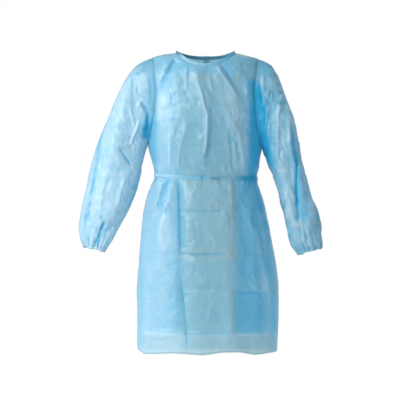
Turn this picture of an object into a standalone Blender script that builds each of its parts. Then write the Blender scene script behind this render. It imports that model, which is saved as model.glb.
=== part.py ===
"""Isolation gown in its worn shape, hollow, with no wearer. Blender 4.5, metres, +Z up.

The front faces -Y and +X is the viewer's right. The origin lies between the two neck points,
at their height, where the wearer's shoulders hold the gown up.
"""

from collections import namedtuple

import bmesh
import bpy
import numpy as np

# Cloth and seams
WALL = 0.0012
SEAM_GAP = 0.0003
# Pieces whose outward directions agree this well share one direction at their seam
SAME_SIDE = 0.5
# Points this close together are one point of a seam
SAME_PLACE = 0.00001
# Edges that bend more than this, in degrees, look sharp
SHARP_ANGLE = 40

# Heights below the neck points
NECK_Z = -0.005
FRONT_NECK_DROP = 0.051
BACK_NECK_DROP = 0.018
SHOULDER_Z = {"left": -0.022, "right": -0.026}
ARMPIT_Z = {"left": -0.352, "right": -0.372}
BELT_TOP_Z = -0.4665
BELT_HEIGHT = 0.014
HEM_Z = -1.146

# Trim
BINDING_HEIGHT = 0.011
BINDING_PROUD = 0.0004
BINDING_WALL = 0.0020
BINDING_LEAN = 0.35
BELT_CLEAR = 0.0008
STRIP_WIDTH = 0.011
STRIP_CLEAR = 0.0022
WAIST_KNOT = (0.026, 0.010, 0.020)
NECK_KNOT = (0.026, 0.009, 0.016)
KNOT_BEVEL = 0.003

# Grid of each piece
SHOULDER_COLUMNS = 4
FRONT_COLUMNS = 24
BACK_COLUMNS = 11
YOKE_ROWS = 12
RIB_ROWS = 5
SKIRT_ROWS = 15
GATHERS = 18
POINTS_A_GATHER = 4
STRIP_ROWS = 10

# How far the armhole seam curves in towards the neck, half way down
ARMHOLE_INSET = 0.020
# How flat the neckline is across its lowest point, and how short the back hem's raised corners
NECKLINE_POWER = 2.2
HEM_CORNER_POWER = 4
RIDGE_SAMPLES = 60
# How steeply the panels' folds fade out towards the side and shoulder seams
FOLD_SIDE_POWER = 4
# The share of its length over which a sleeve's fold fades out at each end
SLEEVE_FOLD_FADE = 1 / 3
# Rings over which the armhole's own outline fades into the sleeve's oval
ARMHOLE_FADE_RINGS = 5

# The torso's oval at each height: half-widths to the viewer's left and right, and depths from
# the side seams to the front and to the back
Section = namedtuple("Section", "z left right front back")
TORSO = [
    Section(-0.005, 0.118, 0.110, 0.058, 0.052),
    Section(-0.009, 0.155, 0.132, 0.064, 0.057),
    Section(-0.016, 0.188, 0.160, 0.072, 0.064),
    Section(-0.022, 0.205, 0.184, 0.078, 0.069),
    Section(-0.026, 0.207, 0.195, 0.082, 0.072),
    Section(-0.050, 0.212, 0.203, 0.098, 0.084),
    Section(-0.100, 0.216, 0.206, 0.118, 0.101),
    Section(-0.200, 0.220, 0.210, 0.138, 0.118),
    Section(-0.300, 0.223, 0.212, 0.142, 0.120),
    Section(-0.362, 0.222, 0.212, 0.140, 0.116),
    Section(-0.405, 0.212, 0.205, 0.134, 0.110),
    Section(-0.440, 0.203, 0.201, 0.129, 0.106),
    Section(-0.474, 0.199, 0.194, 0.127, 0.104),
    Section(-0.500, 0.208, 0.195, 0.132, 0.109),
    Section(-0.530, 0.220, 0.206, 0.141, 0.117),
    Section(-0.588, 0.235, 0.223, 0.153, 0.131),
    Section(-0.650, 0.246, 0.236, 0.163, 0.143),
    Section(-0.740, 0.254, 0.254, 0.175, 0.156),
    Section(-0.833, 0.261, 0.269, 0.184, 0.167),
    Section(-0.900, 0.265, 0.276, 0.189, 0.173),
    Section(-1.000, 0.265, 0.276, 0.193, 0.180),
    Section(-1.100, 0.264, 0.272, 0.195, 0.184),
    Section(-1.150, 0.261, 0.269, 0.195, 0.185),
]

# Rings of each sleeve from armhole to wrist: the outermost and innermost points as distances
# from the centre plane and heights, the half-depth, and how far forward the ring sits
Ring = namedtuple("Ring", "outer_x outer_z inner_x inner_z depth forward")
SLEEVE_RINGS = {
    "left": [
        Ring(0.2050, -0.022, 0.2220, -0.3520, 0.060, 0.000),
        Ring(0.2420, -0.037, 0.2225, -0.3535, 0.063, 0.000),
        Ring(0.2710, -0.055, 0.2232, -0.3560, 0.066, 0.000),
        Ring(0.2930, -0.080, 0.2242, -0.3595, 0.068, 0.001),
        Ring(0.3140, -0.112, 0.2258, -0.3640, 0.069, 0.002),
        Ring(0.3330, -0.151, 0.2280, -0.3700, 0.069, 0.003),
        Ring(0.3525, -0.194, 0.2310, -0.3780, 0.068, 0.004),
        Ring(0.3710, -0.242, 0.2348, -0.3900, 0.066, 0.006),
        Ring(0.3925, -0.292, 0.2395, -0.4080, 0.064, 0.008),
        Ring(0.4145, -0.345, 0.2460, -0.4320, 0.062, 0.011),
        Ring(0.4315, -0.400, 0.2495, -0.4620, 0.060, 0.014),
        Ring(0.4460, -0.455, 0.2578, -0.4960, 0.058, 0.018),
        Ring(0.4565, -0.512, 0.2670, -0.5320, 0.056, 0.022),
        Ring(0.4700, -0.566, 0.2820, -0.5720, 0.055, 0.026),
        Ring(0.4790, -0.617, 0.3037, -0.6180, 0.053, 0.030),
        Ring(0.4865, -0.664, 0.3270, -0.6600, 0.050, 0.034),
        Ring(0.4835, -0.696, 0.3460, -0.6950, 0.046, 0.037),
        Ring(0.4775, -0.718, 0.3620, -0.7220, 0.041, 0.039),
        Ring(0.4700, -0.731, 0.3790, -0.7460, 0.036, 0.040),
        Ring(0.4665, -0.743, 0.3870, -0.7620, 0.035, 0.041),
    ],
    "right": [
        Ring(0.1950, -0.026, 0.2120, -0.3720, 0.060, 0.000),
        Ring(0.2260, -0.037, 0.2124, -0.3735, 0.064, 0.000),
        Ring(0.2475, -0.053, 0.2130, -0.3755, 0.068, 0.001),
        Ring(0.2640, -0.076, 0.2140, -0.3790, 0.072, 0.002),
        Ring(0.2790, -0.106, 0.2153, -0.3835, 0.075, 0.003),
        Ring(0.2925, -0.143, 0.2172, -0.3890, 0.077, 0.005),
        Ring(0.3070, -0.184, 0.2200, -0.3970, 0.078, 0.007),
        Ring(0.3245, -0.228, 0.2240, -0.4070, 0.079, 0.010),
        Ring(0.3405, -0.279, 0.2295, -0.4220, 0.079, 0.014),
        Ring(0.3495, -0.333, 0.2375, -0.4400, 0.079, 0.018),
        Ring(0.3600, -0.388, 0.2475, -0.4630, 0.078, 0.023),
        Ring(0.3725, -0.442, 0.2585, -0.4930, 0.077, 0.028),
        Ring(0.3865, -0.499, 0.2700, -0.5280, 0.075, 0.034),
        Ring(0.3990, -0.554, 0.2775, -0.5670, 0.073, 0.040),
        Ring(0.4165, -0.608, 0.2900, -0.6120, 0.069, 0.046),
        Ring(0.4290, -0.656, 0.3000, -0.6580, 0.063, 0.051),
        Ring(0.4350, -0.694, 0.3095, -0.6980, 0.055, 0.054),
        Ring(0.4380, -0.722, 0.3200, -0.7340, 0.046, 0.056),
        Ring(0.4375, -0.737, 0.3380, -0.7575, 0.038, 0.057),
        Ring(0.4350, -0.748, 0.3480, -0.7735, 0.036, 0.057),
    ],
}
# Height of the gathers' waves on the last rings of the sleeve and on the cuff's two rings
SLEEVE_GATHERS = [0.0006, 0.0014, 0.0022]
CUFF_GATHERS = [0.0022, 0.0026]

# Folds of the panels, as a soft ridge, or a trough where the height is negative, along a line
# seen from the front
Fold = namedtuple("Fold", "x1 z1 x2 z2 half_width height")
FRONT_FOLDS = [
    Fold(-0.036, -0.085, 0.002, -0.250, 0.022, 0.007),
    Fold(0.002, -0.250, -0.022, -0.425, 0.022, 0.006),
    Fold(-0.078, -0.290, -0.106, -0.440, 0.020, 0.005),
    Fold(-0.139, -0.290, -0.147, -0.440, 0.020, 0.004),
    Fold(-0.112, -0.050, -0.176, -0.155, 0.020, -0.007),
    Fold(0.048, -0.090, 0.102, -0.175, 0.020, 0.007),
    Fold(0.078, -0.075, 0.125, -0.150, 0.020, -0.005),
    Fold(0.095, -0.260, 0.120, -0.430, 0.026, 0.005),
    Fold(-0.158, -0.520, -0.190, -0.620, 0.022, -0.008),
    Fold(-0.134, -0.520, -0.170, -0.750, 0.026, 0.009),
    Fold(-0.106, -0.530, -0.074, -1.200, 0.028, -0.007),
    Fold(0.060, -0.540, 0.095, -1.200, 0.040, 0.007),
    Fold(0.140, -0.560, 0.160, -1.200, 0.030, -0.006),
    Fold(0.205, -0.720, 0.238, -1.200, 0.024, -0.009),
    Fold(-0.215, -0.760, -0.225, -1.200, 0.026, 0.007),
]
BACK_FOLDS = [
    Fold(-0.060, -0.080, -0.090, -0.260, 0.026, 0.006),
    Fold(0.085, -0.090, 0.110, -0.250, 0.024, -0.006),
    Fold(-0.130, -0.270, -0.120, -0.430, 0.026, -0.006),
    Fold(0.105, -0.280, 0.120, -0.430, 0.022, 0.005),
    Fold(-0.120, -0.530, -0.150, -1.200, 0.034, 0.010),
    Fold(-0.062, -0.560, -0.085, -1.200, 0.028, -0.008),
    Fold(0.125, -0.530, 0.140, -1.200, 0.034, 0.009),
    Fold(0.185, -0.600, 0.205, -1.200, 0.026, -0.008),
    Fold(-0.200, -0.640, -0.215, -1.200, 0.026, -0.008),
]
# Folds of the sleeves: from one ring to another, the angle round the sleeve in degrees from the
# outermost point towards the front, and the wave's half-width in degrees
SleeveFold = namedtuple("SleeveFold", "ring1 angle1 ring2 angle2 half_width height")
SLEEVE_FOLDS = {
    "left": [
        SleeveFold(2.5, 70, 9.0, 120, 22, -0.007),
        SleeveFold(4.0, 40, 10.0, 78, 20, 0.006),
        SleeveFold(8.0, 45, 15.5, 50, 16, -0.006),
        SleeveFold(10.0, 130, 15.0, 105, 20, 0.006),
        SleeveFold(3.0, 300, 9.0, 240, 22, -0.006),
        SleeveFold(9.0, 285, 15.5, 290, 20, 0.006),
    ],
    "right": [
        SleeveFold(2.5, 90, 8.0, 125, 22, -0.007),
        SleeveFold(3.0, 45, 14.0, 60, 18, 0.006),
        SleeveFold(7.0, 85, 15.5, 95, 16, -0.006),
        SleeveFold(9.0, 130, 15.0, 125, 18, 0.006),
        SleeveFold(3.0, 300, 9.0, 235, 22, -0.006),
        SleeveFold(9.0, 285, 15.5, 285, 20, 0.006),
    ],
}

# How far the front hem rises above its lowest line, across the front
HemPoint = namedtuple("HemPoint", "x rise")
FRONT_HEM = [
    HemPoint(-0.262, 0.014),
    HemPoint(-0.230, 0.000),
    HemPoint(-0.120, 0.007),
    HemPoint(-0.020, 0.002),
    HemPoint(0.070, 0.012),
    HemPoint(0.120, 0.011),
    HemPoint(0.185, 0.000),
    HemPoint(0.270, 0.005),
]

# The back opening: how far each back panel passes the centre line, and how deep the right one
# tucks in under the left one
BackEdge = namedtuple("BackEdge", "z overlap tuck")
BACK_OPENING = [
    BackEdge(-0.023, -0.004, 0.000),
    BackEdge(-0.045, -0.003, 0.003),
    BackEdge(-0.075, 0.008, 0.004),
    BackEdge(-0.120, 0.018, 0.004),
    BackEdge(-0.220, 0.036, 0.004),
    BackEdge(-0.360, 0.050, 0.004),
    BackEdge(-0.474, 0.055, 0.004),
    BackEdge(-0.800, 0.058, 0.004),
    BackEdge(-1.150, 0.060, 0.004),
]
TUCK_FADE = 0.060

# Hanging ends of the ties: where each starts and ends, and how far its start stands off the back
Strip = namedtuple("Strip", "name x1 z1 x2 z2 lift")
STRIPS = [
    Strip("neck_tie_end_left", -0.0065, -0.0262, -0.034, -0.235, 0.0015),
    Strip("neck_tie_end_right", 0.0065, -0.0262, 0.024, -0.260, 0.0015),
    Strip("belt_end_left", -0.0065, -0.4838, -0.042, -0.865, 0.0045),
    Strip("belt_end_right", 0.0065, -0.4838, 0.030, -0.905, 0.0045),
]
LIFT_FADE = 0.15
STRIP_BEND = 1.3

# Name, linear base colour and roughness of the two cloths
CLOTH = ("gown_cloth", (0.30, 0.60, 0.79), 0.62)
TRIM = ("binding_cloth", (0.36, 0.68, 0.86), 0.55)

Sheet = namedtuple("Sheet", "name points faces outside inside cloth")
SIDE_SIGN = {"left": -1, "right": 1}


def smooth_curve(keys, values):
    """A curve through the points with no overshoot, as a function of the key."""
    order = np.argsort(keys)
    xs = np.asarray(keys, float)[order]
    ys = np.asarray(values, float)[order]
    steps = np.diff(ys) / np.diff(xs)
    slopes = np.concatenate([steps[:1], (steps[:-1] + steps[1:]) / 2, steps[-1:]])
    turning = np.concatenate([[False], steps[:-1] * steps[1:] <= 0, [False]])
    slopes[turning] = 0
    for i, step in enumerate(steps):
        limit = 3 * abs(step)
        slopes[i] = np.clip(slopes[i], -limit, limit)
        slopes[i + 1] = np.clip(slopes[i + 1], -limit, limit)

    def read(at):
        at = np.clip(at, xs[0], xs[-1])
        i = np.clip(np.searchsorted(xs, at) - 1, 0, len(xs) - 2)
        width = xs[i + 1] - xs[i]
        t = (at - xs[i]) / width
        start = (1 + 2 * t) * (1 - t) ** 2 * ys[i] + t * (1 - t) ** 2 * width * slopes[i]
        end = t**2 * (3 - 2 * t) * ys[i + 1] - t**2 * (1 - t) * width * slopes[i + 1]
        return start + end

    return read


def table_curve(table, key, column):
    """One column of a table as a smooth curve of another."""
    return smooth_curve([getattr(row, key) for row in table], [getattr(row, column) for row in table])


def ease(t):
    t = np.clip(t, 0, 1)
    return t * t * (3 - 2 * t)


def blend(start, end, t):
    return start + (end - start) * t


REACH = {side: table_curve(TORSO, "z", side) for side in SIDE_SIGN}
DEPTH = {face: table_curve(TORSO, "z", face) for face in ("front", "back")}
OVERLAP = table_curve(BACK_OPENING, "z", "overlap")
TUCK = table_curve(BACK_OPENING, "z", "tuck")
HEM_RISE = table_curve(FRONT_HEM, "x", "rise")


def reach_at(x, z):
    """The torso's half-width at this height, on the side that x lies on."""
    return np.where(x < 0, REACH["left"](z), REACH["right"](z))


def fold_height(folds, x, z):
    """How far the folds push the cloth out at points seen from the front."""
    ridge = np.zeros(np.shape(x))
    trough = np.zeros(np.shape(x))
    for fold in folds:
        along = np.array([fold.x2 - fold.x1, fold.z2 - fold.z1])
        length = along @ along
        t = np.clip(((x - fold.x1) * along[0] + (z - fold.z1) * along[1]) / length, 0, 1)
        off_x = x - fold.x1 - t * along[0]
        off_z = z - fold.z1 - t * along[1]
        push = fold.height * np.exp(-(off_x**2 + off_z**2) / fold.half_width**2)
        ridge = np.maximum(ridge, push)
        trough = np.minimum(trough, push)
    return ridge + trough


def torso_points(x, z, face, tuck=0.0):
    """Points on the torso's oval, with the folds, which fade out at the side and shoulder seams."""
    across = np.clip(x / reach_at(x, z), -1, 1)
    level = np.sqrt(1 - across**2)
    depth = DEPTH[face](z)
    sign = -1 if face == "front" else 1
    folds = FRONT_FOLDS if face == "front" else BACK_FOLDS
    normal = np.stack([across / reach_at(x, z), sign * level / depth, np.zeros(np.shape(z))], axis=-1)
    normal /= np.linalg.norm(normal, axis=-1, keepdims=True)
    push = fold_height(folds, x, z) * (1 - across**FOLD_SIDE_POWER) - tuck
    return np.stack([x, sign * depth * level, z], axis=-1) + normal * push[..., None]


def armpit_reach(side):
    return REACH[side](ARMPIT_Z[side])


def armpit_z(x):
    ends = [-armpit_reach("left"), armpit_reach("right")]
    return np.interp(x, ends, [ARMPIT_Z["left"], ARMPIT_Z["right"]])


def shoulder_seam(side, steps):
    """The seam from shoulder point to neck point, along the ridge of the torso."""
    levels = np.linspace(SHOULDER_Z[side], NECK_Z, RIDGE_SAMPLES)
    widths = REACH[side](levels)
    xs = np.linspace(widths[0], widths[-1], steps + 1)
    zs = np.interp(xs[::-1], widths[::-1], levels[::-1])[::-1]
    return SIDE_SIGN[side] * xs, zs


def neckline_z(x, face):
    drop = FRONT_NECK_DROP if face == "front" else BACK_NECK_DROP
    neck = reach_at(x, np.full(np.shape(x), NECK_Z))
    return NECK_Z - drop * (1 - np.abs(x / neck) ** NECKLINE_POWER)


def row_fractions():
    """Even angles round the armhole, so that the sleeve's ring is evenly divided."""
    return (1 - np.cos(np.linspace(0, np.pi, YOKE_ROWS + 1))) / 2


def armhole(side):
    """The armhole seam seen from the front, from shoulder point to armpit."""
    t = row_fractions()
    zs = blend(SHOULDER_Z[side], ARMPIT_Z[side], t)
    top = REACH[side](SHOULDER_Z[side])
    xs = blend(top, armpit_reach(side), t) - ARMHOLE_INSET * np.sin(np.pi * t)
    return SIDE_SIGN[side] * xs, zs


def yoke_grid(top, bottom, start, end):
    """x and z of a grid between four edge curves, each a pair of arrays of x and of z."""
    t = row_fractions()[:, None]
    s = np.linspace(0, 1, len(top[0]))[None, :]
    grid = []
    for axis in range(2):
        across = blend(top[axis][None, :], bottom[axis][None, :], t)
        start_gap = start[axis][:, None] - across[:, :1]
        end_gap = end[axis][:, None] - across[:, -1:]
        grid.append(across + start_gap * (1 - s) + end_gap * s)
    return grid


def lower_rows(sines, hem_rise):
    """x and z of the rows below the armpits. sines holds each column's place, from -1 to 1."""
    belt_low = BELT_TOP_Z - BELT_HEIGHT
    hem_x = reach_at(sines, HEM_Z + 0 * sines) * sines
    start = armpit_z(np.where(sines < 0, armpit_reach("left"), armpit_reach("right")) * sines)
    rows = [blend(start, BELT_TOP_Z, k / RIB_ROWS) for k in range(1, RIB_ROWS + 1)]
    for k in range(SKIRT_ROWS + 1):
        rows.append(blend(belt_low, HEM_Z + hem_rise(hem_x), k / SKIRT_ROWS))
    zs = np.array([np.broadcast_to(row, sines.shape) for row in rows])
    return reach_at(np.broadcast_to(sines, zs.shape), zs) * sines, zs


def front_grid():
    """The front panel's points, row by row from neck to hem, from left to right."""
    left_x, left_z = shoulder_seam("left", SHOULDER_COLUMNS)
    right_x, right_z = shoulder_seam("right", SHOULDER_COLUMNS)
    turn = np.linspace(-np.pi / 2, np.pi / 2, FRONT_COLUMNS - 2 * SHOULDER_COLUMNS + 1)
    neck_x = np.where(turn < 0, -left_x[-1], right_x[-1]) * np.sin(turn)
    top_x = np.concatenate([left_x, neck_x[1:-1], right_x[::-1]])
    top_z = np.concatenate([left_z, neckline_z(neck_x[1:-1], "front"), right_z[::-1]])
    sines = np.sin(np.linspace(-np.pi / 2, np.pi / 2, FRONT_COLUMNS + 1))
    bottom_x = np.where(sines < 0, armpit_reach("left"), armpit_reach("right")) * sines
    bottom = (bottom_x, armpit_z(bottom_x))
    x, z = yoke_grid((top_x, top_z), bottom, armhole("left"), armhole("right"))
    low_x, low_z = lower_rows(sines, HEM_RISE)
    x = np.concatenate([x, low_x])
    z = np.concatenate([z, low_z])
    return torso_points(x, z, "front")


def back_tuck(x, z):
    """How deep the right back panel lies under the left one."""
    return TUCK(z) * ease(1 - (x - OVERLAP(z)) / TUCK_FADE)


def back_hem_rise(x):
    """The back hem is level, and meets the front hem at the side seams."""
    reach = reach_at(x, HEM_Z + 0 * x)
    edge = np.where(x < 0, HEM_RISE(-reach), HEM_RISE(reach))
    return edge * np.abs(x / reach) ** HEM_CORNER_POWER


def back_grid(side):
    """A back panel's points, row by row from neck to hem, from its centre edge to its side."""
    sign = SIDE_SIGN[side]
    seam_x, seam_z = shoulder_seam(side, SHOULDER_COLUMNS)
    neck_columns = BACK_COLUMNS - SHOULDER_COLUMNS
    edge = -sign * OVERLAP(NECK_Z - BACK_NECK_DROP)
    neck_x = blend(edge, seam_x[-1], np.sin(np.linspace(0, np.pi / 2, neck_columns + 1)))
    top_x = np.concatenate([neck_x[:-1], seam_x[::-1]])
    top_z = np.concatenate([neckline_z(neck_x[:-1], "back"), seam_z[::-1]])
    reach = armpit_reach(side)
    low_edge = -sign * OVERLAP(ARMPIT_Z[side])
    angles = np.linspace(np.arcsin(sign * low_edge / reach), np.pi / 2, BACK_COLUMNS + 1)
    bottom_x = sign * reach * np.sin(angles)
    t = row_fractions()
    edge_z = blend(top_z[0], armpit_z(low_edge), t)
    edge_x = -sign * OVERLAP(edge_z)
    x, z = yoke_grid((top_x, top_z), (bottom_x, armpit_z(bottom_x)), (edge_x, edge_z), armhole(side))
    place = np.linspace(0, 1, BACK_COLUMNS + 1)
    _, level_z = lower_rows(sign * np.sin(angles), back_hem_rise)
    start = np.arcsin(-OVERLAP(level_z[:, :1]) / REACH[side](level_z[:, :1]))
    low_x = sign * REACH[side](level_z) * np.sin(blend(start, np.pi / 2, place[None, :]))
    x = np.concatenate([x, low_x])
    z = np.concatenate([z, level_z])
    tuck = back_tuck(x, z) if side == "right" else np.zeros(x.shape)
    return torso_points(x, z, "back", tuck), torso_points(x, z, "back", np.zeros(x.shape))


def grid_faces(rows, columns, closed=False, flip=False, first=0):
    """Quads of a grid of points listed row by row."""
    faces = []
    for j in range(rows - 1):
        for i in range(columns if closed else columns - 1):
            k = (i + 1) % columns
            quad = [j * columns + i, (j + 1) * columns + i, (j + 1) * columns + k, j * columns + k]
            faces.append([first + corner for corner in (quad[::-1] if flip else quad)])
    return faces


def fan_faces(coarse, fine, count, ratio, flip):
    """Triangles between a closed row of points and one with a whole number of times as many."""
    faces = []
    for i in range(count):
        here = coarse + i
        ahead = coarse + (i + 1) % count
        for k in range(ratio):
            a = fine + i * ratio + k
            b = fine + (i * ratio + k + 1) % (count * ratio)
            faces.append([here, a, b] if k < ratio - 1 else [here, a, ahead])
            if k == ratio - 1:
                faces.append([ahead, a, b])
    return [face[::-1] for face in faces] if flip else faces


def ring_points(side, ring, angles, gather=0.0):
    """Points round one ring of a sleeve, from its outermost point towards the front."""
    sign = SIDE_SIGN[side]
    outer = np.array([sign * ring.outer_x, -ring.forward, ring.outer_z])
    inner = np.array([sign * ring.inner_x, -ring.forward, ring.inner_z])
    middle = (outer + inner) / 2
    half = (outer - inner) / 2
    depth = np.array([0, -ring.depth, 0])
    wave = gather * np.cos(GATHERS * angles)
    points = middle + np.cos(angles)[:, None] * half + np.sin(angles)[:, None] * depth
    out = points - middle
    return points + out / np.linalg.norm(out, axis=1, keepdims=True) * wave[:, None]


def sleeve_push(side, index, angles):
    """How far the sleeve's folds push its cloth out, round one ring."""
    total = np.zeros(len(angles))
    for fold in SLEEVE_FOLDS[side]:
        t = (index - fold.ring1) / (fold.ring2 - fold.ring1)
        centre = blend(fold.angle1, fold.angle2, np.clip(t, 0, 1))
        off = (np.degrees(angles) - centre + 180) % 360 - 180
        ends = ease(0.5 + (0.5 - abs(t - 0.5)) / SLEEVE_FOLD_FADE)
        total += fold.height * ends * np.exp(-((off / fold.half_width) ** 2))
    return total


def sleeve_sheet(side, armhole_ring):
    """The sleeve from its armhole ring to the cuff seam, with finer rings where it gathers."""
    rings = SLEEVE_RINGS[side]
    count = len(armhole_ring)
    ratio = GATHERS * POINTS_A_GATHER // count
    coarse = np.linspace(0, 2 * np.pi, count, endpoint=False)
    fine = np.linspace(0, 2 * np.pi, count * ratio, endpoint=False)
    last_coarse = len(rings) - 2 - len(SLEEVE_GATHERS)
    offset = armhole_ring - ring_points(side, rings[0], coarse)
    rows = [armhole_ring]
    for j in range(1, last_coarse + 1):
        points = ring_points(side, rings[j], coarse)
        out = points - points.mean(axis=0)
        out /= np.linalg.norm(out, axis=1, keepdims=True)
        left = 1 - ease(j / ARMHOLE_FADE_RINGS)
        rows.append(points + offset * left + out * sleeve_push(side, j, coarse)[:, None])
    flip = side == "right"
    faces = grid_faces(len(rows), count, closed=True, flip=flip)
    start = (len(rows) - 1) * count
    faces += fan_faces(start, start + count, count, ratio, flip)
    for j, gather in enumerate(SLEEVE_GATHERS, last_coarse + 1):
        rows.append(ring_points(side, rings[j], fine, gather))
    faces += grid_faces(len(SLEEVE_GATHERS), count * ratio, True, flip, start + count)
    return Sheet(f"sleeve_{side}", np.concatenate(rows), faces, 0.0, WALL, CLOTH)


def cuff_sheet(side):
    rings = SLEEVE_RINGS[side][-2:]
    angles = np.linspace(0, 2 * np.pi, GATHERS * POINTS_A_GATHER, endpoint=False)
    rows = [ring_points(side, ring, angles, gather) for ring, gather in zip(rings, CUFF_GATHERS)]
    faces = grid_faces(2, len(angles), closed=True, flip=side == "right")
    return Sheet(f"cuff_{side}", np.concatenate(rows), faces, 0.0, WALL, TRIM)


def grid_sheet(name, grid, cloth=CLOTH, outside=0.0, inside=WALL, closed=False):
    rows, columns = grid.shape[:2]
    faces = grid_faces(rows, columns, closed)
    return Sheet(name, grid.reshape(-1, 3), faces, outside, inside, cloth)


def armhole_rings(front, back_left, back_right):
    """Each armhole's points, from the shoulder point down the front and up the back."""
    last = YOKE_ROWS
    return {
        "left": np.concatenate([front[: last + 1, 0], back_left[last - 1 : 0 : -1, -1]]),
        "right": np.concatenate([front[: last + 1, -1], back_right[last - 1 : 0 : -1, -1]]),
    }


def binding_grid(front, back_left, back_right):
    """A band that stands up from the neck edge, from one end at the centre back to the other."""
    keep = slice(SHOULDER_COLUMNS, FRONT_COLUMNS - SHOULDER_COLUMNS + 1)
    neck_columns = BACK_COLUMNS - SHOULDER_COLUMNS
    left = back_left[0, :neck_columns]
    right = back_right[0, neck_columns - 1 :: -1]
    low = np.concatenate([left, front[0, keep], right])
    centre = np.array([0.0, (low[:, 1].min() + low[:, 1].max()) / 2, 0.0])
    lean = centre - low
    lean[:, 2] = 0
    lean /= np.linalg.norm(lean, axis=1, keepdims=True)
    rise = np.array([0, 0, 1.0]) + BINDING_LEAN * lean
    rise /= np.linalg.norm(rise, axis=1, keepdims=True)
    return np.array([low + BINDING_HEIGHT * rise, low])


def belt_grid(front, back_left, back_right):
    """A band round the waist, made from the panels' own points."""
    rows = slice(YOKE_ROWS + RIB_ROWS, YOKE_ROWS + RIB_ROWS + 2)
    clear = OVERLAP(BELT_TOP_Z) + STRIP_WIDTH
    right = back_right[rows, ::-1][:, 1:]
    right = right[:, right[0, :, 0] > clear]
    left = back_left[rows, :-1]
    return np.concatenate([front[rows], right, left], axis=1)


def strip_grid(strip):
    """A tie's hanging end, which lies just off the back of the gown."""
    t = np.linspace(0, 1, STRIP_ROWS + 1)[:, None]
    middle = blend(strip.x1, strip.x2, t**STRIP_BEND)
    x = middle + np.array([[1, 0, -1]]) * STRIP_WIDTH / 2
    z = blend(strip.z1, strip.z2, t) + np.zeros(x.shape)
    points = torso_points(x, z, "back", np.zeros(x.shape))
    points[..., 1] += STRIP_CLEAR + strip.lift * (1 - ease(t / LIFT_FADE))
    return points


def add_material(cloth):
    name, colour, roughness = cloth
    found = bpy.data.materials.get(name)
    if found:
        return found
    material = bpy.data.materials.new(name)
    material.use_nodes = True
    shader = material.node_tree.nodes["Principled BSDF"]
    shader.inputs["Base Color"].default_value = (*colour, 1)
    shader.inputs["Roughness"].default_value = roughness
    shader.inputs["Metallic"].default_value = 0
    material.diffuse_color = (*colour, 1)
    return material


def add_object(name, mesh, cloth):
    mesh.materials.append(add_material(cloth))
    mesh.shade_smooth()
    mesh.set_sharp_from_angle(angle=np.radians(SHARP_ANGLE))
    obj = bpy.data.objects.new(name, mesh)
    bpy.context.collection.objects.link(obj)
    return obj


def open_mesh(sheet):
    """The sheet's faces with no thickness, as a bmesh."""
    mesh = bmesh.new()
    corners = [mesh.verts.new(point) for point in sheet.points]
    for face in sheet.faces:
        mesh.faces.new([corners[i] for i in face])
    mesh.normal_update()
    mesh.verts.index_update()
    return mesh


def place_key(point):
    return tuple(np.round(np.asarray(point) / SAME_PLACE).astype(int))


def meeting_normals(meshes):
    """The outward directions of all the pieces that meet at each point."""
    found = {}
    for mesh in meshes:
        for vert in mesh.verts:
            found.setdefault(place_key(vert.co), []).append(np.array(vert.normal))
    return found


def unit(vector):
    return vector / np.linalg.norm(vector)


def seam_directions(own, normals):
    """The outward direction that a piece shares with those that run on from it, and the one
    midway between the two sides of a sharp seam."""
    sides = [[other for other in normals if other @ normal > SAME_SIDE] for normal in normals]
    run_on = unit(sum(other for other in normals if other @ own > SAME_SIDE))
    midway = unit(sum(normal / len(side) for normal, side in zip(normals, sides)))
    return run_on, midway


def edge_inset(vert, midway):
    """How a point on a piece's edge moves in, to leave half of the seam's gap on its side."""
    inward = []
    for edge in vert.link_edges:
        if not edge.is_boundary:
            continue
        face = edge.link_faces[0]
        along = np.array(edge.verts[1].co - edge.verts[0].co)
        across = np.cross(np.array(face.normal), along)
        middle = np.array((edge.verts[0].co + edge.verts[1].co) / 2)
        across *= np.sign(across @ (np.array(face.calc_center_median()) - middle))
        inward.append(unit(across - midway * (across @ midway)))
    if not inward:
        return np.zeros(3)
    return SEAM_GAP / 2 * sum(inward) / (1 + inward[0] @ inward[1])


def add_wall(sheet, mesh, meeting):
    """Gives a sheet its thickness, as one closed body."""
    outer, inner = [], []
    for vert in mesh.verts:
        own = np.array(vert.normal)
        run_on, midway = seam_directions(own, meeting[place_key(vert.co)])
        base = np.array(vert.co) + edge_inset(vert, midway)
        outer.append(base + run_on * sheet.outside)
        inner.append(base + run_on * (sheet.outside - sheet.inside) / (own @ run_on))
    count = len(outer)
    faces = [list(face) for face in sheet.faces]
    faces += [[corner + count for corner in face[::-1]] for face in sheet.faces]
    for edge in mesh.edges:
        if edge.is_boundary:
            loop = edge.link_loops[0]
            a, b = loop.vert.index, loop.link_loop_next.vert.index
            faces.append([b, a, a + count, b + count])
    data = bpy.data.meshes.new(sheet.name)
    data.from_pydata([tuple(point) for point in outer + inner], [], faces)
    data.validate()
    return add_object(sheet.name, data, sheet.cloth)


def add_knot(name, size, centre):
    """A knot as a small cushion with round edges."""
    mesh = bmesh.new()
    bmesh.ops.create_cube(mesh, size=1)
    bmesh.ops.scale(mesh, vec=size, verts=mesh.verts)
    bmesh.ops.bevel(mesh, geom=mesh.edges[:], offset=KNOT_BEVEL, segments=2, profile=0.5, affect="EDGES")
    data = bpy.data.meshes.new(name)
    mesh.to_mesh(data)
    mesh.free()
    knot = add_object(name, data, TRIM)
    knot.location = centre
    return knot


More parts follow.
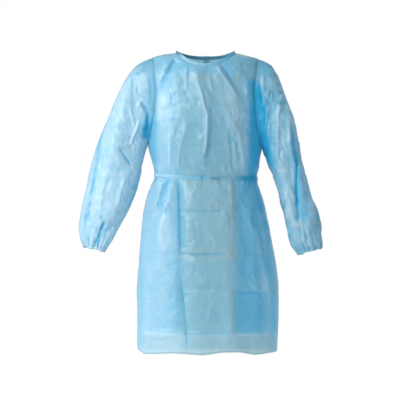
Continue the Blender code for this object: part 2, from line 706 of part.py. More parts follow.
def add_knots():
    """The knots of the belt and of the neck ties, on the centre back."""
    zero = np.zeros(1)
    belt_z = BELT_TOP_Z - BELT_HEIGHT / 2
    belt_y = torso_points(zero, zero + belt_z, "back", zero)[0, 1] + BELT_CLEAR + WALL
    centre_y = belt_y + SEAM_GAP + WAIST_KNOT[1] / 2
    add_knot("belt_knot", WAIST_KNOT, (0, centre_y, belt_z))
    neck_z = NECK_Z - BACK_NECK_DROP + BINDING_HEIGHT / 2
    neck_y = torso_points(zero, zero + NECK_Z - BACK_NECK_DROP, "back", zero)[0, 1] + BINDING_PROUD
    centre_y = neck_y + SEAM_GAP + NECK_KNOT[1] / 2
    add_knot("neck_knot", NECK_KNOT, (0, centre_y, neck_z))


def build():
    for obj in list(bpy.data.objects):
        bpy.data.objects.remove(obj)
    front = front_grid()
    back_left, _ = back_grid("left")
    back_right, back_right_level = back_grid("right")
    rings = armhole_rings(front, back_left, back_right)
    belt = belt_grid(front, back_left, back_right_level)
    sheets = [
        grid_sheet("front_panel", front),
        grid_sheet("back_panel_left", back_left),
        grid_sheet("back_panel_right", back_right[:, ::-1]),
        sleeve_sheet("left", rings["left"]),
        sleeve_sheet("right", rings["right"]),
        cuff_sheet("left"),
        cuff_sheet("right"),
        grid_sheet(
            "neck_binding",
            binding_grid(front, back_left, back_right),
            TRIM,
            BINDING_PROUD,
            BINDING_WALL,
        ),
        grid_sheet("belt", belt, TRIM, BELT_CLEAR + WALL, WALL, closed=True),
    ]
    sheets += [grid_sheet(strip.name, strip_grid(strip), TRIM, WALL) for strip in STRIPS]
    meshes = [open_mesh(sheet) for sheet in sheets]
    meeting = meeting_normals(meshes)
    for sheet, mesh in zip(sheets, meshes):
        add_wall(sheet, mesh, meeting)
        mesh.free()
    add_knots()


build()
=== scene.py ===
import math

import bpy
import numpy as np
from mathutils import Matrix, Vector


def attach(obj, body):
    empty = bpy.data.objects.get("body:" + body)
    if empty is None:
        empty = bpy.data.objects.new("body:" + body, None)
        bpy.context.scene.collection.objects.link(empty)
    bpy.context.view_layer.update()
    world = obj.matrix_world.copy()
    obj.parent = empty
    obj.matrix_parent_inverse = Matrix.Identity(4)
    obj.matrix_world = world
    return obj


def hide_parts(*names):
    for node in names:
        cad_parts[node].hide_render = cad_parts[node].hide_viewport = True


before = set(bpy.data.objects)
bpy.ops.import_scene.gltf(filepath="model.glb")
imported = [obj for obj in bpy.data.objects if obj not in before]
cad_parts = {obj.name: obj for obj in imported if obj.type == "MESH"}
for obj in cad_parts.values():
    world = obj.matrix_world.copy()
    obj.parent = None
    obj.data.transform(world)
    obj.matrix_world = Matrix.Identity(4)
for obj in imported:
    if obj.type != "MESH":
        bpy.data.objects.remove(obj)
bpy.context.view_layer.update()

# The gown faces -Y and +X is the viewer's right. The origin is midway between the two neck points,
# and "left" and "right" are the viewer's. Lengths are in metres, and in the tables whose comment
# says mm in millimetres.

view = {
    "distance": 8.00,
    "centreX": -0.0248,
    "centreZ": -0.5654,
    "widthSeen": 1.528,
    "sensor": 36.0,
    "farthest": 100,
}
studio = {
    "floorZ": -1.66,
    "floorRadius": 2.6,
    "floorCorners": 96,
    "floorColour": (0.95, 0.955, 0.96),
    "floorRoughness": 0.8,
    "skyColour": (1.0, 1.0, 1.0),
    "skyStrength": 1.0,
    "skyDim": 0.42,
    "skyDimTowards": (0.55, -0.80, 0.10),
    "skyDimFrom": -0.15,
    "skyDimFull": 0.75,
    "keyPower": 118,
    "keyPlace": (-2.6, -2.2, 1.0),
    "keySize": 1.6,
    "keyColour": (1.0, 0.99, 0.97),
    "fillPower": 18,
    "fillPlace": (2.4, -3.0, 0.4),
    "fillSize": 2.2,
    "fillColour": (1.0, 1.0, 1.0),
    "aim": (0.0, 0.0, -0.55),
}


# Sets a shader node's values by name, and links those that are another node's output.
def setNode(tree, node, **values):
    for name, value in values.items():
        if hasattr(node, name):
            setattr(node, name, value)
            continue
        socket = node.inputs[name.replace("_", " ")]
        if isinstance(value, bpy.types.NodeSocket):
            tree.links.new(value, socket)
        else:
            socket.default_value = (*value, 1) if socket.type == "RGBA" else value
    return node


def addNode(tree, kind, **values):
    return setNode(tree, tree.nodes.new(kind), **values)


def newMaterial(name):
    material = bpy.data.materials.new(name)
    material.use_nodes = True
    return material, material.node_tree


def addCamera():
    data = bpy.data.cameras.new("camera")
    data.sensor_width = view["sensor"]
    data.lens = view["sensor"] * view["distance"] / view["widthSeen"]
    data.clip_end = view["farthest"]
    eye = bpy.data.objects.new("camera", data)
    eye.location = (view["centreX"], -view["distance"], view["centreZ"])
    eye.rotation_euler = (math.radians(90), 0, 0)
    bpy.context.collection.objects.link(eye)
    bpy.context.scene.camera = eye


def addLamp(name):
    data = bpy.data.lights.new(name, "AREA")
    data.energy = studio[f"{name}Power"]
    data.size = studio[f"{name}Size"]
    data.color = studio[f"{name}Colour"]
    lamp = bpy.data.objects.new(name, data)
    lamp.location = studio[f"{name}Place"]
    lamp.rotation_euler = (Vector(studio["aim"]) - lamp.location).to_track_quat("-Z", "Y").to_euler()
    bpy.context.collection.objects.link(lamp)


def addStudio():
    scene = bpy.context.scene
    scene.view_settings.view_transform = "Standard"
    scene.view_settings.look = "None"
    scene.world = bpy.data.worlds.new("studio")
    scene.world.use_nodes = True
    # dimmer on the viewer's side and to the right, as in a studio with its lamps on the left
    tree = scene.world.node_tree
    place = addNode(tree, "ShaderNodeTexCoord").outputs["Generated"]
    turn = addNode(tree, "ShaderNodeVectorMath", operation="DOT_PRODUCT", Vector=place)
    turn.inputs[1].default_value = studio["skyDimTowards"]
    dim = addNode(
        tree,
        "ShaderNodeMapRange",
        interpolation_type="SMOOTHSTEP",
        Value=turn.outputs["Value"],
        From_Min=studio["skyDimFrom"],
        From_Max=studio["skyDimFull"],
        To_Min=studio["skyStrength"],
        To_Max=studio["skyDim"],
    )
    # the backdrop itself stays white from every side
    ray = addNode(tree, "ShaderNodeLightPath").outputs["Is Camera Ray"]
    seen = addNode(tree, "ShaderNodeMix", Factor=ray, A=dim.outputs["Result"], B=studio["skyStrength"])
    sky = tree.nodes["Background"]
    setNode(tree, sky, Color=studio["skyColour"], Strength=seen.outputs["Result"])
    addLamp("key")
    addLamp("fill")
    bpy.ops.object.select_all(action="DESELECT")
    place = (0, 0, studio["floorZ"])
    bpy.ops.mesh.primitive_circle_add(
        vertices=studio["floorCorners"], radius=studio["floorRadius"], fill_type="NGON", location=place
    )
    floor = bpy.context.object
    floor.name = "floor"
    material, tree = newMaterial("floorPaper")
    shader = tree.nodes["Principled BSDF"]
    setNode(tree, shader, Base_Color=studio["floorColour"], Roughness=studio["floorRoughness"])
    floor.data.materials.append(material)


addCamera()
addStudio()
print("camera and studio are ready")

form = {
    "neckZ": -0.005,
    "frontNeckDrop": 0.054,
    "backNeckDrop": 0.018,
    "necklinePower": 2.2,
    "shoulderZ": {"left": -0.022, "right": -0.026},
    "armpitZ": {"left": -0.352, "right": -0.372},
    "armholeInset": 0.020,
    "beltTopZ": -0.4665,
    "beltHeight": 0.014,
    "hemZ": -1.146,
    "hemCornerPower": 4,
    "clothWall": 0.0004,
}
beltLowZ = form["beltTopZ"] - form["beltHeight"]
backNeckZ = form["neckZ"] - form["backNeckDrop"]
grid = {
    "shoulderColumns": 27,
    "frontColumns": 166,
    "backColumns": 84,
    "backShoulderColumns": 30,
    "yokeRows": 76,
    "ribRows": 27,
    "beltRows": 4,
    "skirtRows": 160,
    "ringsBetween": 8,
}
# The body in mm: z, half-width left, half-width right, depth front, depth back
torsoOval = [
    (-5, 118, 110, 58, 52),
    (-9, 155, 132, 64, 57),
    (-16, 188, 160, 72, 64),
    (-22, 205, 184, 78, 69),
    (-26, 207, 195, 82, 72),
    (-50, 212, 203, 98, 84),
    (-100, 216, 206, 118, 101),
    (-200, 220, 210, 138, 118),
    (-300, 223, 212, 142, 120),
    (-362, 222, 212, 140, 116),
    (-405, 212, 205, 134, 110),
    (-440, 203, 201, 129, 106),
    (-474, 199, 194, 127, 104),
    (-500, 208, 195, 132, 109),
    (-530, 220, 206, 141, 117),
    (-588, 235, 223, 153, 131),
    (-650, 246, 236, 163, 143),
    (-740, 254, 254, 175, 156),
    (-833, 261, 269, 184, 167),
    (-900, 265, 276, 189, 173),
    (-1000, 265, 276, 193, 180),
    (-1100, 264, 272, 195, 184),
    (-1150, 261, 269, 195, 185),
]
# The sleeves' rings in mm: outermost x and z, innermost x and z, half-depth, forward
sleeveRings = {
    "left": [
        (205, -22, 222, -352, 60, 0),
        (242, -37, 222.5, -353.5, 63, 0),
        (271, -55, 223.2, -356, 66, 0),
        (293, -80, 224.2, -359.5, 68, 1),
        (314, -112, 225.8, -364, 69, 2),
        (333, -151, 228, -370, 69, 3),
        (352.5, -194, 231, -378, 68, 4),
        (371, -242, 234.8, -390, 66, 6),
        (392.5, -292, 239.5, -408, 64, 8),
        (414.5, -345, 246, -432, 62, 11),
        (431.5, -400, 249.5, -462, 60, 14),
        (446, -455, 257.8, -496, 58, 18),
        (456.5, -512, 267, -532, 56, 22),
        (470, -566, 282, -572, 55, 26),
        (479, -617, 303.7, -618, 53, 30),
        (486.5, -664, 327, -660, 50, 34),
        (483.5, -696, 346, -695, 46, 37),
        (477.5, -718, 362, -722, 41, 39),
        (470, -731, 379, -746, 36, 40),
        (466.5, -743, 387, -762, 35, 41),
    ],
    "right": [
        (195, -26, 212, -372, 60, 0),
        (226, -37, 212.4, -373.5, 64, 0),
        (247.5, -53, 213, -375.5, 68, 1),
        (264, -76, 214, -379, 72, 2),
        (279, -106, 215.3, -383.5, 75, 3),
        (292.5, -143, 217.2, -389, 77, 5),
        (307, -184, 220, -397, 78, 7),
        (324.5, -228, 224, -407, 79, 10),
        (340.5, -279, 229.5, -422, 79, 14),
        (349.5, -333, 237.5, -440, 79, 18),
        (360, -388, 247.5, -463, 78, 23),
        (372.5, -442, 258.5, -493, 77, 28),
        (386.5, -499, 270, -528, 75, 34),
        (399, -554, 277.5, -567, 73, 40),
        (416.5, -608, 290, -612, 69, 46),
        (429, -656, 300, -658, 63, 51),
        (435, -694, 309.5, -698, 55, 54),
        (438, -722, 320, -734, 46, 56),
        (437.5, -737, 338, -757.5, 38, 57),
        (435, -748, 348, -773.5, 36, 57),
    ],
}
# In mm: x, rise of the front hem above its lowest line
frontHem = [
    (-262, 14),
    (-230, 0),
    (-120, 7),
    (-20, 2),
    (70, 12),
    (120, 11),
    (185, 0),
    (270, 5),
]
# In mm: z, how far each back panel passes the centre line, how deep the right one tucks in
backOpening = [
    (-23, 1, 1.5),
    (-45, 5, 3),
    (-75, 10, 4),
    (-120, 18, 4),
    (-220, 36, 4),
    (-360, 50, 4),
    (-474, 55, 4),
    (-800, 58, 4),
    (-1150, 60, 4),
]
tuckFade = 0.060
sideSign = {"left": -1, "right": 1}


# A curve through the points with no overshoot.
def smoothCurve(keys, values):
    order = np.argsort(keys)
    xs = np.asarray(keys, float)[order]
    ys = np.asarray(values, float)[order]
    steps = np.diff(ys) / np.diff(xs)
    slopes = np.concatenate([steps[:1], (steps[:-1] + steps[1:]) / 2, steps[-1:]])
    slopes[np.concatenate([[False], steps[:-1] * steps[1:] <= 0, [False]])] = 0
    for i, step in enumerate(steps):
        limit = 3 * abs(step)
        slopes[i] = np.clip(slopes[i], -limit, limit)
        slopes[i + 1] = np.clip(slopes[i + 1], -limit, limit)

    def read(at):
        at = np.clip(at, xs[0], xs[-1])
        i = np.clip(np.searchsorted(xs, at) - 1, 0, len(xs) - 2)
        width = xs[i + 1] - xs[i]
        t = (at - xs[i]) / width
        start = (1 + 2 * t) * (1 - t) ** 2 * ys[i] + t * (1 - t) ** 2 * width * slopes[i]
        end = t**2 * (3 - 2 * t) * ys[i + 1] - t**2 * (1 - t) * width * slopes[i + 1]
        return start + end

    return read


def columnCurve(table, column):
    rows = np.array(table) / 1000
    return smoothCurve(rows[:, 0], rows[:, column])


def unit(vectors):
    return vectors / np.maximum(np.linalg.norm(vectors, axis=-1, keepdims=True), 1e-12)


def ease(t):
    t = np.clip(t, 0, 1)
    return t * t * (3 - 2 * t)


def bell(t):
    return np.exp(-(t**2))


def blend(start, end, t):
    return start + (end - start) * t


reachOf = {"left": columnCurve(torsoOval, 1), "right": columnCurve(torsoOval, 2)}
depthOf = {"front": columnCurve(torsoOval, 3), "back": columnCurve(torsoOval, 4)}
overlapAt = columnCurve(backOpening, 1)
tuckAt = columnCurve(backOpening, 2)
hemRise = columnCurve(frontHem, 1)


def reachAt(x, z):
    return np.where(x < 0, reachOf["left"](z), reachOf["right"](z))


# Soft folds of the panels in mm: x1, z1, x2, z2, half-width, height
frontFolds = [
    (-36, -85, 2, -250, 22, 7),
    (2, -250, -22, -425, 22, 6),
    (-78, -290, -106, -440, 20, 5),
    (-139, -290, -147, -440, 20, 4),
    (-112, -50, -176, -155, 20, -7),
    (48, -90, 102, -175, 20, 7),
    (78, -75, 125, -150, 20, -5),
    (95, -260, 120, -430, 26, 5),
    (-158, -520, -190, -620, 22, -8),
    (-134, -520, -170, -750, 26, 9),
    (-106, -530, -74, -1200, 28, -7),
    (60, -540, 95, -1200, 40, 7),
    (140, -560, 160, -1200, 30, -6),
    (205, -720, 238, -1200, 24, -9),
    (-215, -760, -225, -1200, 26, 7),
]
backFolds = [
    (-60, -80, -90, -260, 26, 6),
    (85, -90, 110, -250, 24, -6),
    (-130, -270, -120, -430, 26, -6),
    (105, -280, 120, -430, 22, 5),
    (-120, -530, -150, -1200, 34, 10),
    (-62, -560, -85, -1200, 28, -8),
    (125, -530, 140, -1200, 34, 9),
    (185, -600, 205, -1200, 26, -8),
    (-200, -640, -215, -1200, 26, -8),
]
# Soft folds of the sleeves: ring1, degrees, ring2, degrees, half-width in degrees, height in mm
sleeveFolds = {
    "left": [
        (2.5, 70, 9.0, 120, 22, -7),
        (4.0, 40, 10.0, 78, 20, 6),
        (8.0, 45, 15.5, 50, 16, -6),
        (10.0, 130, 15.0, 105, 20, 6),
        (3.0, 300, 9.0, 240, 22, -6),
        (9.0, 285, 15.5, 290, 20, 6),
    ],
    "right": [
        (2.5, 90, 8.0, 125, 22, -7),
        (3.0, 45, 14.0, 60, 18, 6),
        (7.0, 85, 15.5, 95, 16, -6),
        (9.0, 130, 15.0, 125, 18, 6),
        (3.0, 300, 9.0, 235, 22, -6),
        (9.0, 285, 15.5, 285, 20, 6),
        (13.4, 0, 15.6, 0, 24, 7),
    ],
}


# Creases seen from the front: kind, and in mm half-width, height, path of x and z. A ridge is
# round, a crest is sharp, and a step stands higher on one side of its path.
frontCreases = [
    # from the neck down the chest
    ("ridge", 7, 5,
        [(-36, -65), (-32, -126), (-21, -160), (-6, -222), (3, -252), (1, -309), (-3, -367), (-21, -428)]),
    ("ridge", 9, 2.8, [(-74, -53), (-78, -99), (-74, -160)]),
    ("ridge", 9, 2.2, [(10, -69), (13, -122), (29, -176)]),
    ("ridge", 7, 4.5, [(32, -46), (52, -80), (74, -115), (101, -157), (117, -191)]),
    ("ridge", 7, -3.5, [(52, -46), (67, -73), (86, -99), (105, -138), (120, -168)]),
    ("ridge", 10, -6, [(-113, -23), (-136, -61), (-155, -94), (-174, -134), (-183, -164)]),
    ("step", 6, 4, [(-183, -122), (-185, -199), (-193, -283)]),
    ("ridge", 5, 3, [(-147, -153), (-134, -202)]),
    ("ridge", 4, 1.8, [(-151, -229), (-151, -271)]),
    ("crest", 5, 1.8, [(-166, -286), (-147, -283), (-124, -279)]),
    # ribs and waist
    ("ridge", 7, 4.2, [(-74, -290), (-94, -348), (-101, -397), (-107, -462)]),
    ("ridge", 8, 3, [(-143, -290), (-137, -355), (-137, -416), (-147, -466)]),
    ("ridge", 10, 3.5, [(120, -306), (128, -374), (139, -458)]),
    ("ridge", 10, -3, [(82, -290), (94, -374), (97, -458)]),
    ("crest", 6, 1.6, [(-29, -447), (36, -445)]),
    ("crest", 6, 1.6, [(90, -286), (109, -271), (132, -256), (151, -229)]),
    # skirt, left
    ("ridge", 9, -7, [(-151, -493), (-166, -527), (-178, -565), (-195, -611)]),
    ("ridge", 12, 5, [(-136, -493), (-143, -546), (-159, -623), (-174, -741)]),
    ("crest", 4, 2, [(-212, -619), (-174, -617)]),
    ("step", 5, -4.5, [(-111, -489), (-105, -607), (-103, -684), (-105, -787)]),
    ("crest", 5, -2.8, [(-107, -802), (-97, -865), (-90, -932), (-80, -1001), (-74, -1062), (-74, -1150)]),
    ("step", 5, 3, [(-251, -1016), (-243, -1070), (-236, -1150)]),
    # skirt, right
    ("step", 6, 6,
        [(241, -1150), (243, -1024), (241, -932), (231, -867), (214, -787), (197, -703), (174, -657),
         (151, -611)]),
    ("crest", 5, -3, [(159, -837), (170, -860), (189, -886)]),
    ("crest", 4, -2, [(254, -1005), (265, -1054)]),
    ("crest", 5, 0.9, [(90, -512), (94, -623), (97, -756)]),
    ("step", 9, -1.8, [(97, -894), (101, -947), (105, -1070)]),
    ("crest", 4, 2.4, [(86, -756), (105, -764), (124, -756)]),
    # lines left by the packing, across
    ("crest", 5, -2.8, [(-109, -607), (-25, -611), (94, -605)]),
    ("crest", 5, -3.6, [(-113, -764), (-25, -771), (82, -766)]),
    ("crest", 4, 2.6, [(-101, -913), (-25, -909), (59, -909)]),
    ("crest", 4, -2.2, [(97, -909), (166, -917), (243, -913)]),
    ("crest", 4, 2.2, [(-250, -932), (-178, -930)]),
    ("crest", 4, 1.4, [(-197, -993), (-162, -993)]),
    ("crest", 4, 2.6, [(-243, -1089), (-193, -1085), (-147, -1075), (-63, -1060), (21, -1060)]),
    ("crest", 4, 2.6, [(60, -1056), (139, -1070), (208, -1075)]),
]
backCreases = [
    ("ridge", 9, 4.5, [(-50, -60), (-66, -130), (-70, -210), (-88, -300)]),
    ("ridge", 9, -4, [(60, -50), (88, -110), (112, -190), (118, -270)]),
    ("ridge", 10, 4, [(100, -40), (136, -100), (160, -180)]),
    ("ridge", 10, -5, [(-110, -35), (-142, -90), (-168, -170)]),
    ("ridge", 8, 4, [(-96, -320), (-100, -390), (-92, -460)]),
    ("ridge", 8, -3.5, [(70, -330), (80, -400), (76, -460)]),
    ("ridge", 10, 3.5, [(140, -310), (146, -380), (138, -455)]),
    ("ridge", 10, -6.5, [(-130, -495), (-142, -560), (-165, -660)]),
    ("ridge", 12, 5, [(110, -495), (122, -580), (150, -720)]),
    ("step", 5, -4, [(-105, -560), (-103, -700), (-106, -880), (-98, -1150)]),
    ("crest", 6, -3.5, [(100, -620), (101, -780), (103, -890)]),
    ("crest", 6, -1, [(102, -860), (104, -960), (112, -1150)]),
    ("step", 6, 5, [(-226, -700), (-236, -850), (-240, -1150)]),
    ("crest", 5, 1.8, [(-150, -285), (-40, -288), (130, -284)]),
    ("crest", 5, -2.8, [(-190, -612), (-60, -607), (120, -611)]),
    ("crest", 5, 3, [(-200, -768), (-40, -771), (170, -764)]),
    ("crest", 4, -2.6, [(-230, -915), (-70, -909), (200, -913)]),
    ("crest", 4, 2.6, [(-220, -1068), (-20, -1062), (210, -1070)]),
]
sleeveCreases = {
    "left": [
        ("crest", 5, -4,
            [(-395, -306), (-401, -327), (-418, -418), (-434, -504), (-445, -567), (-453, -615),
             (-464, -646), (-464, -678), (-453, -718), (-434, -741)]),
        ("crest", 5, -2.8, [(-281, -76), (-280, -145), (-280, -214)]),
        ("ridge", 8, -4.5, [(-277, -88), (-235, -69), (-189, -61)]),
        ("ridge", 9, -7.5, [(-250, -185), (-235, -214), (-221, -243), (-225, -275), (-229, -320)]),
        ("crest", 5, -3, [(-214, -103), (-210, -141), (-212, -176)]),
        ("ridge", 6, 3.2, [(-294, -200), (-281, -252), (-271, -290)]),
        ("ridge", 6, 5, [(-288, -367), (-277, -329), (-262, -290), (-250, -260)]),
        ("ridge", 6, 4, [(-288, -367), (-311, -359), (-342, -351)]),
        ("ridge", 6, -5.5, [(-334, -363), (-315, -390), (-296, -416), (-277, -443)]),
        ("crest", 5, -4, [(-265, -504), (-277, -527)]),
        ("ridge", 8, 3.2, [(-308, -470), (-330, -535), (-346, -604)]),
        ("ridge", 9, 3, [(-380, -470), (-392, -535), (-403, -611)]),
        ("ridge", 8, -6, [(-384, -642), (-399, -680), (-414, -718), (-420, -741)]),
        ("ridge", 7, 4, [(-346, -657), (-361, -695), (-376, -726)]),
    ],
    "right": [
        ("ridge", 6, -5, [(197, -92), (199, -110), (203, -140), (208, -170), (214, -200)]),
        ("ridge", 8, 4, [(215, -80), (214, -130), (210, -170)]),
        ("ridge", 8, 5, [(281, -176), (276, -202), (268, -325), (268, -424)]),
        ("ridge", 8, 4.5, [(296, -168), (304, -202), (311, -306), (315, -374)]),
        ("crest", 6, -6, [(311, -252), (327, -363), (342, -439), (340, -520), (343, -600), (350, -661)]),
        ("crest", 5, -3.5, [(416, -607), (418, -695), (430, -741)]),
        ("crest", 4, 3, [(265, -458), (285, -455), (308, -460)]),
        ("crest", 4, 2.2, [(273, -474), (296, -470)]),
        ("crest", 5, 3, [(235, -202), (229, -252), (231, -306)]),
        ("crest", 5, 3, [(243, -252), (236, -313), (237, -359)]),
        ("crest", 4, 2.8, [(226, -160), (246, -190), (258, -205)]),
        ("crest", 4, -2.8, [(246, -140), (240, -180), (250, -215)]),
        ("ridge", 9, 3, [(304, -527), (319, -596), (342, -665)]),
        ("ridge", 10, 3.2, [(380, -489), (388, -565), (392, -649)]),
        ("crest", 5, -4, [(342, -676), (369, -691), (388, -718)]),
        ("crest", 5, 3.5, [(357, -665), (372, -703)]),
    ],
}
# z of the packing's lines across, from the neck down
packingLines = [0.040, -0.126, -0.286, -0.447, -0.609, -0.769, -0.911, -1.064, -1.220]
creaseLook = {
    "crispEdge": 0.20,
    "narrow": 0.72,
    "strength": 1.5,
    "sleeveFacets": {"left": 1.0, "right": 2.0},
    "taper": 0.22,
    "uneven": 0.25,
    "stepReach": 5.0,
    "stepSharp": 1.5,
    # how many half-widths from its path a crease still counts
    "margin": {"ridge": 4, "crest": 4, "step": 11},
    "pathStep": 0.012,
    "packingBulge": 0.0022,
    "facetSize": 0.052,
    "facetHeight": 0.0075,
    "smallFacetSize": 0.019,
    "smallFacetHeight": 0.0030,
    # as shares of a facet's size: how large and how strong its bends are, and how far apart patches lie
    "facetBendSize": 2.2,
    "facetBend": 0.55,
    "facetPatch": 1.7,
    "facetSpread": (0.8, 1.5),
    "neckFade": 0.03,
}


# A table's creases in metres.
def inMetres(creases):
    return [(kind, width / 1000, height / 1000, np.array(path) / 1000) for kind, width, height, path in creases]


# More points along a path, on a curve through its own.
def smoothPath(path):
    path = np.array(path)
    along = np.concatenate([[0], np.cumsum(np.linalg.norm(np.diff(path, axis=0), axis=1))])
    steps = np.linspace(0, along[-1], max(2, int(along[-1] / creaseLook["pathStep"])) + 1)
    return np.stack([smoothCurve(along, path[:, k])(steps) for k in range(2)], axis=-1)


# How far the creases push the cloth out at points seen from the front or the back.
def creaseHeight(creases, x, z):
    total = np.zeros(np.shape(x))
    for kind, width, height, path in creases:
        path = smoothPath(path)
        width = width * creaseLook["narrow"]
        margin = width * creaseLook["margin"][kind]
        low, high = path.min(axis=0) - margin, path.max(axis=0) + margin
        near = (x > low[0]) & (x < high[0]) & (z > low[1]) & (z < high[1])
        if not near.any():
            continue
        at = np.stack([x[near], z[near]], axis=-1)[:, None, :]
        start, step = path[None, :-1], np.diff(path, axis=0)[None]
        t = np.clip(((at - start) * step).sum(-1) / (step**2).sum(-1), 0, 1)
        off = at - start - t[..., None] * step
        gap = np.linalg.norm(off, axis=-1)
        best = gap.argmin(axis=1)
        row = np.arange(len(best))
        gap = gap[row, best]
        side = np.sign(step[0, best, 0] * off[row, best, 1] - step[0, best, 1] * off[row, best, 0])
        place = (best + t[row, best]) / (len(path) - 1)
        ends = ease(place / creaseLook["taper"]) * ease((1 - place) / creaseLook["taper"])
        uneven = 1 + creaseLook["uneven"] * np.sin(17 * place + 900 * path[0, 0]) * np.sin(7 * place + 2)
        if kind == "ridge":
            shape = bell(gap / width)
        elif kind == "crest":
            soft = creaseLook["crispEdge"] * width
            shape = np.exp(-(np.sqrt(gap**2 + soft**2) - soft) / width)
        else:
            rise = 0.5 + 0.5 * np.tanh(side * gap / width * creaseLook["stepSharp"])
            shape = rise * bell(gap / (creaseLook["stepReach"] * width))
        total[near] += height * shape * ends * uneven
    return total


# Smooth noise in space, from -1 to 1.
def softNoise(points, size, seed):
    values = np.random.default_rng(seed).uniform(-1, 1, 4096)
    at = points / size + 100
    cell = np.floor(at).astype(int)
    t = ease(at - cell)
    primes = (73856093, 19349663, 83492791)
    total = 0
    for corner in range(8):
        dx, dy, dz = corner & 1, corner >> 1 & 1, corner >> 2
        x, y, z = ((cell[..., k] + shift) * prime for k, (shift, prime) in enumerate(zip((dx, dy, dz), primes)))
        share = np.abs(1 - dx - t[..., 0]) * np.abs(1 - dy - t[..., 1]) * np.abs(1 - dz - t[..., 2])
        total = total + values[(x ^ y ^ z) & 4095] * share
    return total


# Flat facets between sharp little creases, as stiff thin cloth takes when it is handled.
def facets(points, size, seed):
    draw = np.random.default_rng(seed)
    bendSize = size * creaseLook["facetBendSize"]
    bend = np.stack([softNoise(points, bendSize, seed + k) for k in (1, 2, 3)], axis=-1)
    bent = points + bend * size * creaseLook["facetBend"]
    total = 0
    for k in range(4):
        direction = draw.normal(size=3) * (1, 0.4, 1)
        direction /= np.linalg.norm(direction)
        wave = bent @ direction / (size * draw.uniform(*creaseLook["facetSpread"])) + draw.uniform()
        mask = ease(softNoise(points, size * creaseLook["facetPatch"], seed + 10 + k) * 1.2 + 0.35)
        total = total + (np.abs(wave % 1 - 0.5) * 2 - 0.5) * mask
    return total / 4


def crumple(points):
    large = creaseLook["facetHeight"] * facets(points, creaseLook["facetSize"], 11)
    small = creaseLook["smallFacetHeight"] * facets(points, creaseLook["smallFacetSize"], 47)
    return large + small


# Each stretch between two of the packing's lines stands out a little.
def packingBulge(z):
    lines = np.array(packingLines[::-1])
    i = np.clip(np.searchsorted(lines, z) - 1, 0, len(lines) - 2)
    t = (z - lines[i]) / (lines[i + 1] - lines[i])
    return creaseLook["packingBulge"] * np.sqrt(np.abs(np.sin(np.pi * np.clip(t, 0, 1))))


# How far the soft folds push the cloth out.
def foldHeight(folds, x, z):
    ridge = np.zeros(np.shape(x))
    trough = np.zeros(np.shape(x))
    for x1, z1, x2, z2, halfWidth, height in np.array(folds) / 1000:
        along = np.array([x2 - x1, z2 - z1])
        t = np.clip(((x - x1) * along[0] + (z - z1) * along[1]) / (along @ along), 0, 1)
        offX = x - x1 - t * along[0]
        offZ = z - z1 - t * along[1]
        push = height * np.exp(-(offX**2 + offZ**2) / halfWidth**2)
        ridge = np.maximum(ridge, push)
        trough = np.minimum(trough, push)
    return ridge + trough


# Points on the torso's oval, pushed out along it.
def torsoPoints(x, z, face, push=0.0):
    reach = reachAt(x, z)
    across = np.clip(x / reach, -1, 1)
    level = np.sqrt(1 - across**2)
    depth = depthOf[face](z)
    sign = -1 if face == "front" else 1
    normal = np.stack([across / reach, sign * level / depth, np.zeros(np.shape(z))], axis=-1)
    normal /= np.linalg.norm(normal, axis=-1, keepdims=True)
    points = np.stack([x, sign * depth * level, z], axis=-1)
    return points + normal * (np.zeros(np.shape(x)) + push)[..., None]


# 1 over the middle of a panel, 0 at its side and shoulder seams.
def sideFade(x, z):
    return 1 - np.clip(np.abs(x / reachAt(x, z)), 0, 1) ** 4


def armpitReach(side):
    return reachOf[side](form["armpitZ"][side])


# x of the points at the armpits' level, from sines of their place round the body.
def armpitX(sines):
    return np.where(sines < 0, armpitReach("left"), armpitReach("right")) * sines


def armpitLevel(x):
    ends = [-armpitReach("left"), armpitReach("right")]
    return np.interp(x, ends, [form["armpitZ"]["left"], form["armpitZ"]["right"]])


def shoulderSeam(side, steps):
    levels = np.linspace(form["shoulderZ"][side], form["neckZ"], 60)
    widths = reachOf[side](levels)
    xs = np.linspace(widths[0], widths[-1], steps + 1)
    zs = np.interp(xs[::-1], widths[::-1], levels[::-1])[::-1]
    return sideSign[side] * xs, zs


def necklineZ(x, face):
    drop = form["frontNeckDrop"] if face == "front" else form["backNeckDrop"]
    neck = reachAt(x, np.full(np.shape(x), form["neckZ"]))
    return form["neckZ"] - drop * (1 - np.abs(x / neck) ** form["necklinePower"])


def rowFractions():
    return (1 - np.cos(np.linspace(0, np.pi, grid["yokeRows"] + 1))) / 2


def armholeCurve(side):
    t = rowFractions()
    zs = blend(form["shoulderZ"][side], form["armpitZ"][side], t)
    top = reachOf[side](form["shoulderZ"][side])
    xs = blend(top, armpitReach(side), t) - form["armholeInset"] * np.sin(np.pi * t)
    return sideSign[side] * xs, zs


# x and z of a grid between four edge curves.
def yokeGrid(top, bottom, start, end):
    t = rowFractions()[:, None]
    s = np.linspace(0, 1, len(top[0]))[None, :]
    made = []
    for axis in range(2):
        across = blend(top[axis][None, :], bottom[axis][None, :], t)
        startGap = start[axis][:, None] - across[:, :1]
        endGap = end[axis][:, None] - across[:, -1:]
        made.append(across + startGap * (1 - s) + endGap * s)
    return made


# x and z of the rows below the armpits.
def lowerRows(sines, rise):
    hemX = reachAt(sines, form["hemZ"] + 0 * sines) * sines
    start = armpitLevel(armpitX(sines))
    rows = []
    for k in range(1, grid["ribRows"] + 1):
        rows.append(blend(start, form["beltTopZ"], k / grid["ribRows"]))
    for k in range(1, grid["beltRows"]):
        rows.append(blend(form["beltTopZ"], beltLowZ, k / grid["beltRows"]) + 0 * sines)
    for k in range(grid["skirtRows"] + 1):
        rows.append(blend(beltLowZ, form["hemZ"] + rise(hemX), k / grid["skirtRows"]))
    zs = np.array([np.broadcast_to(row, sines.shape) for row in rows])
    return reachAt(np.broadcast_to(sines, zs.shape), zs) * sines, zs


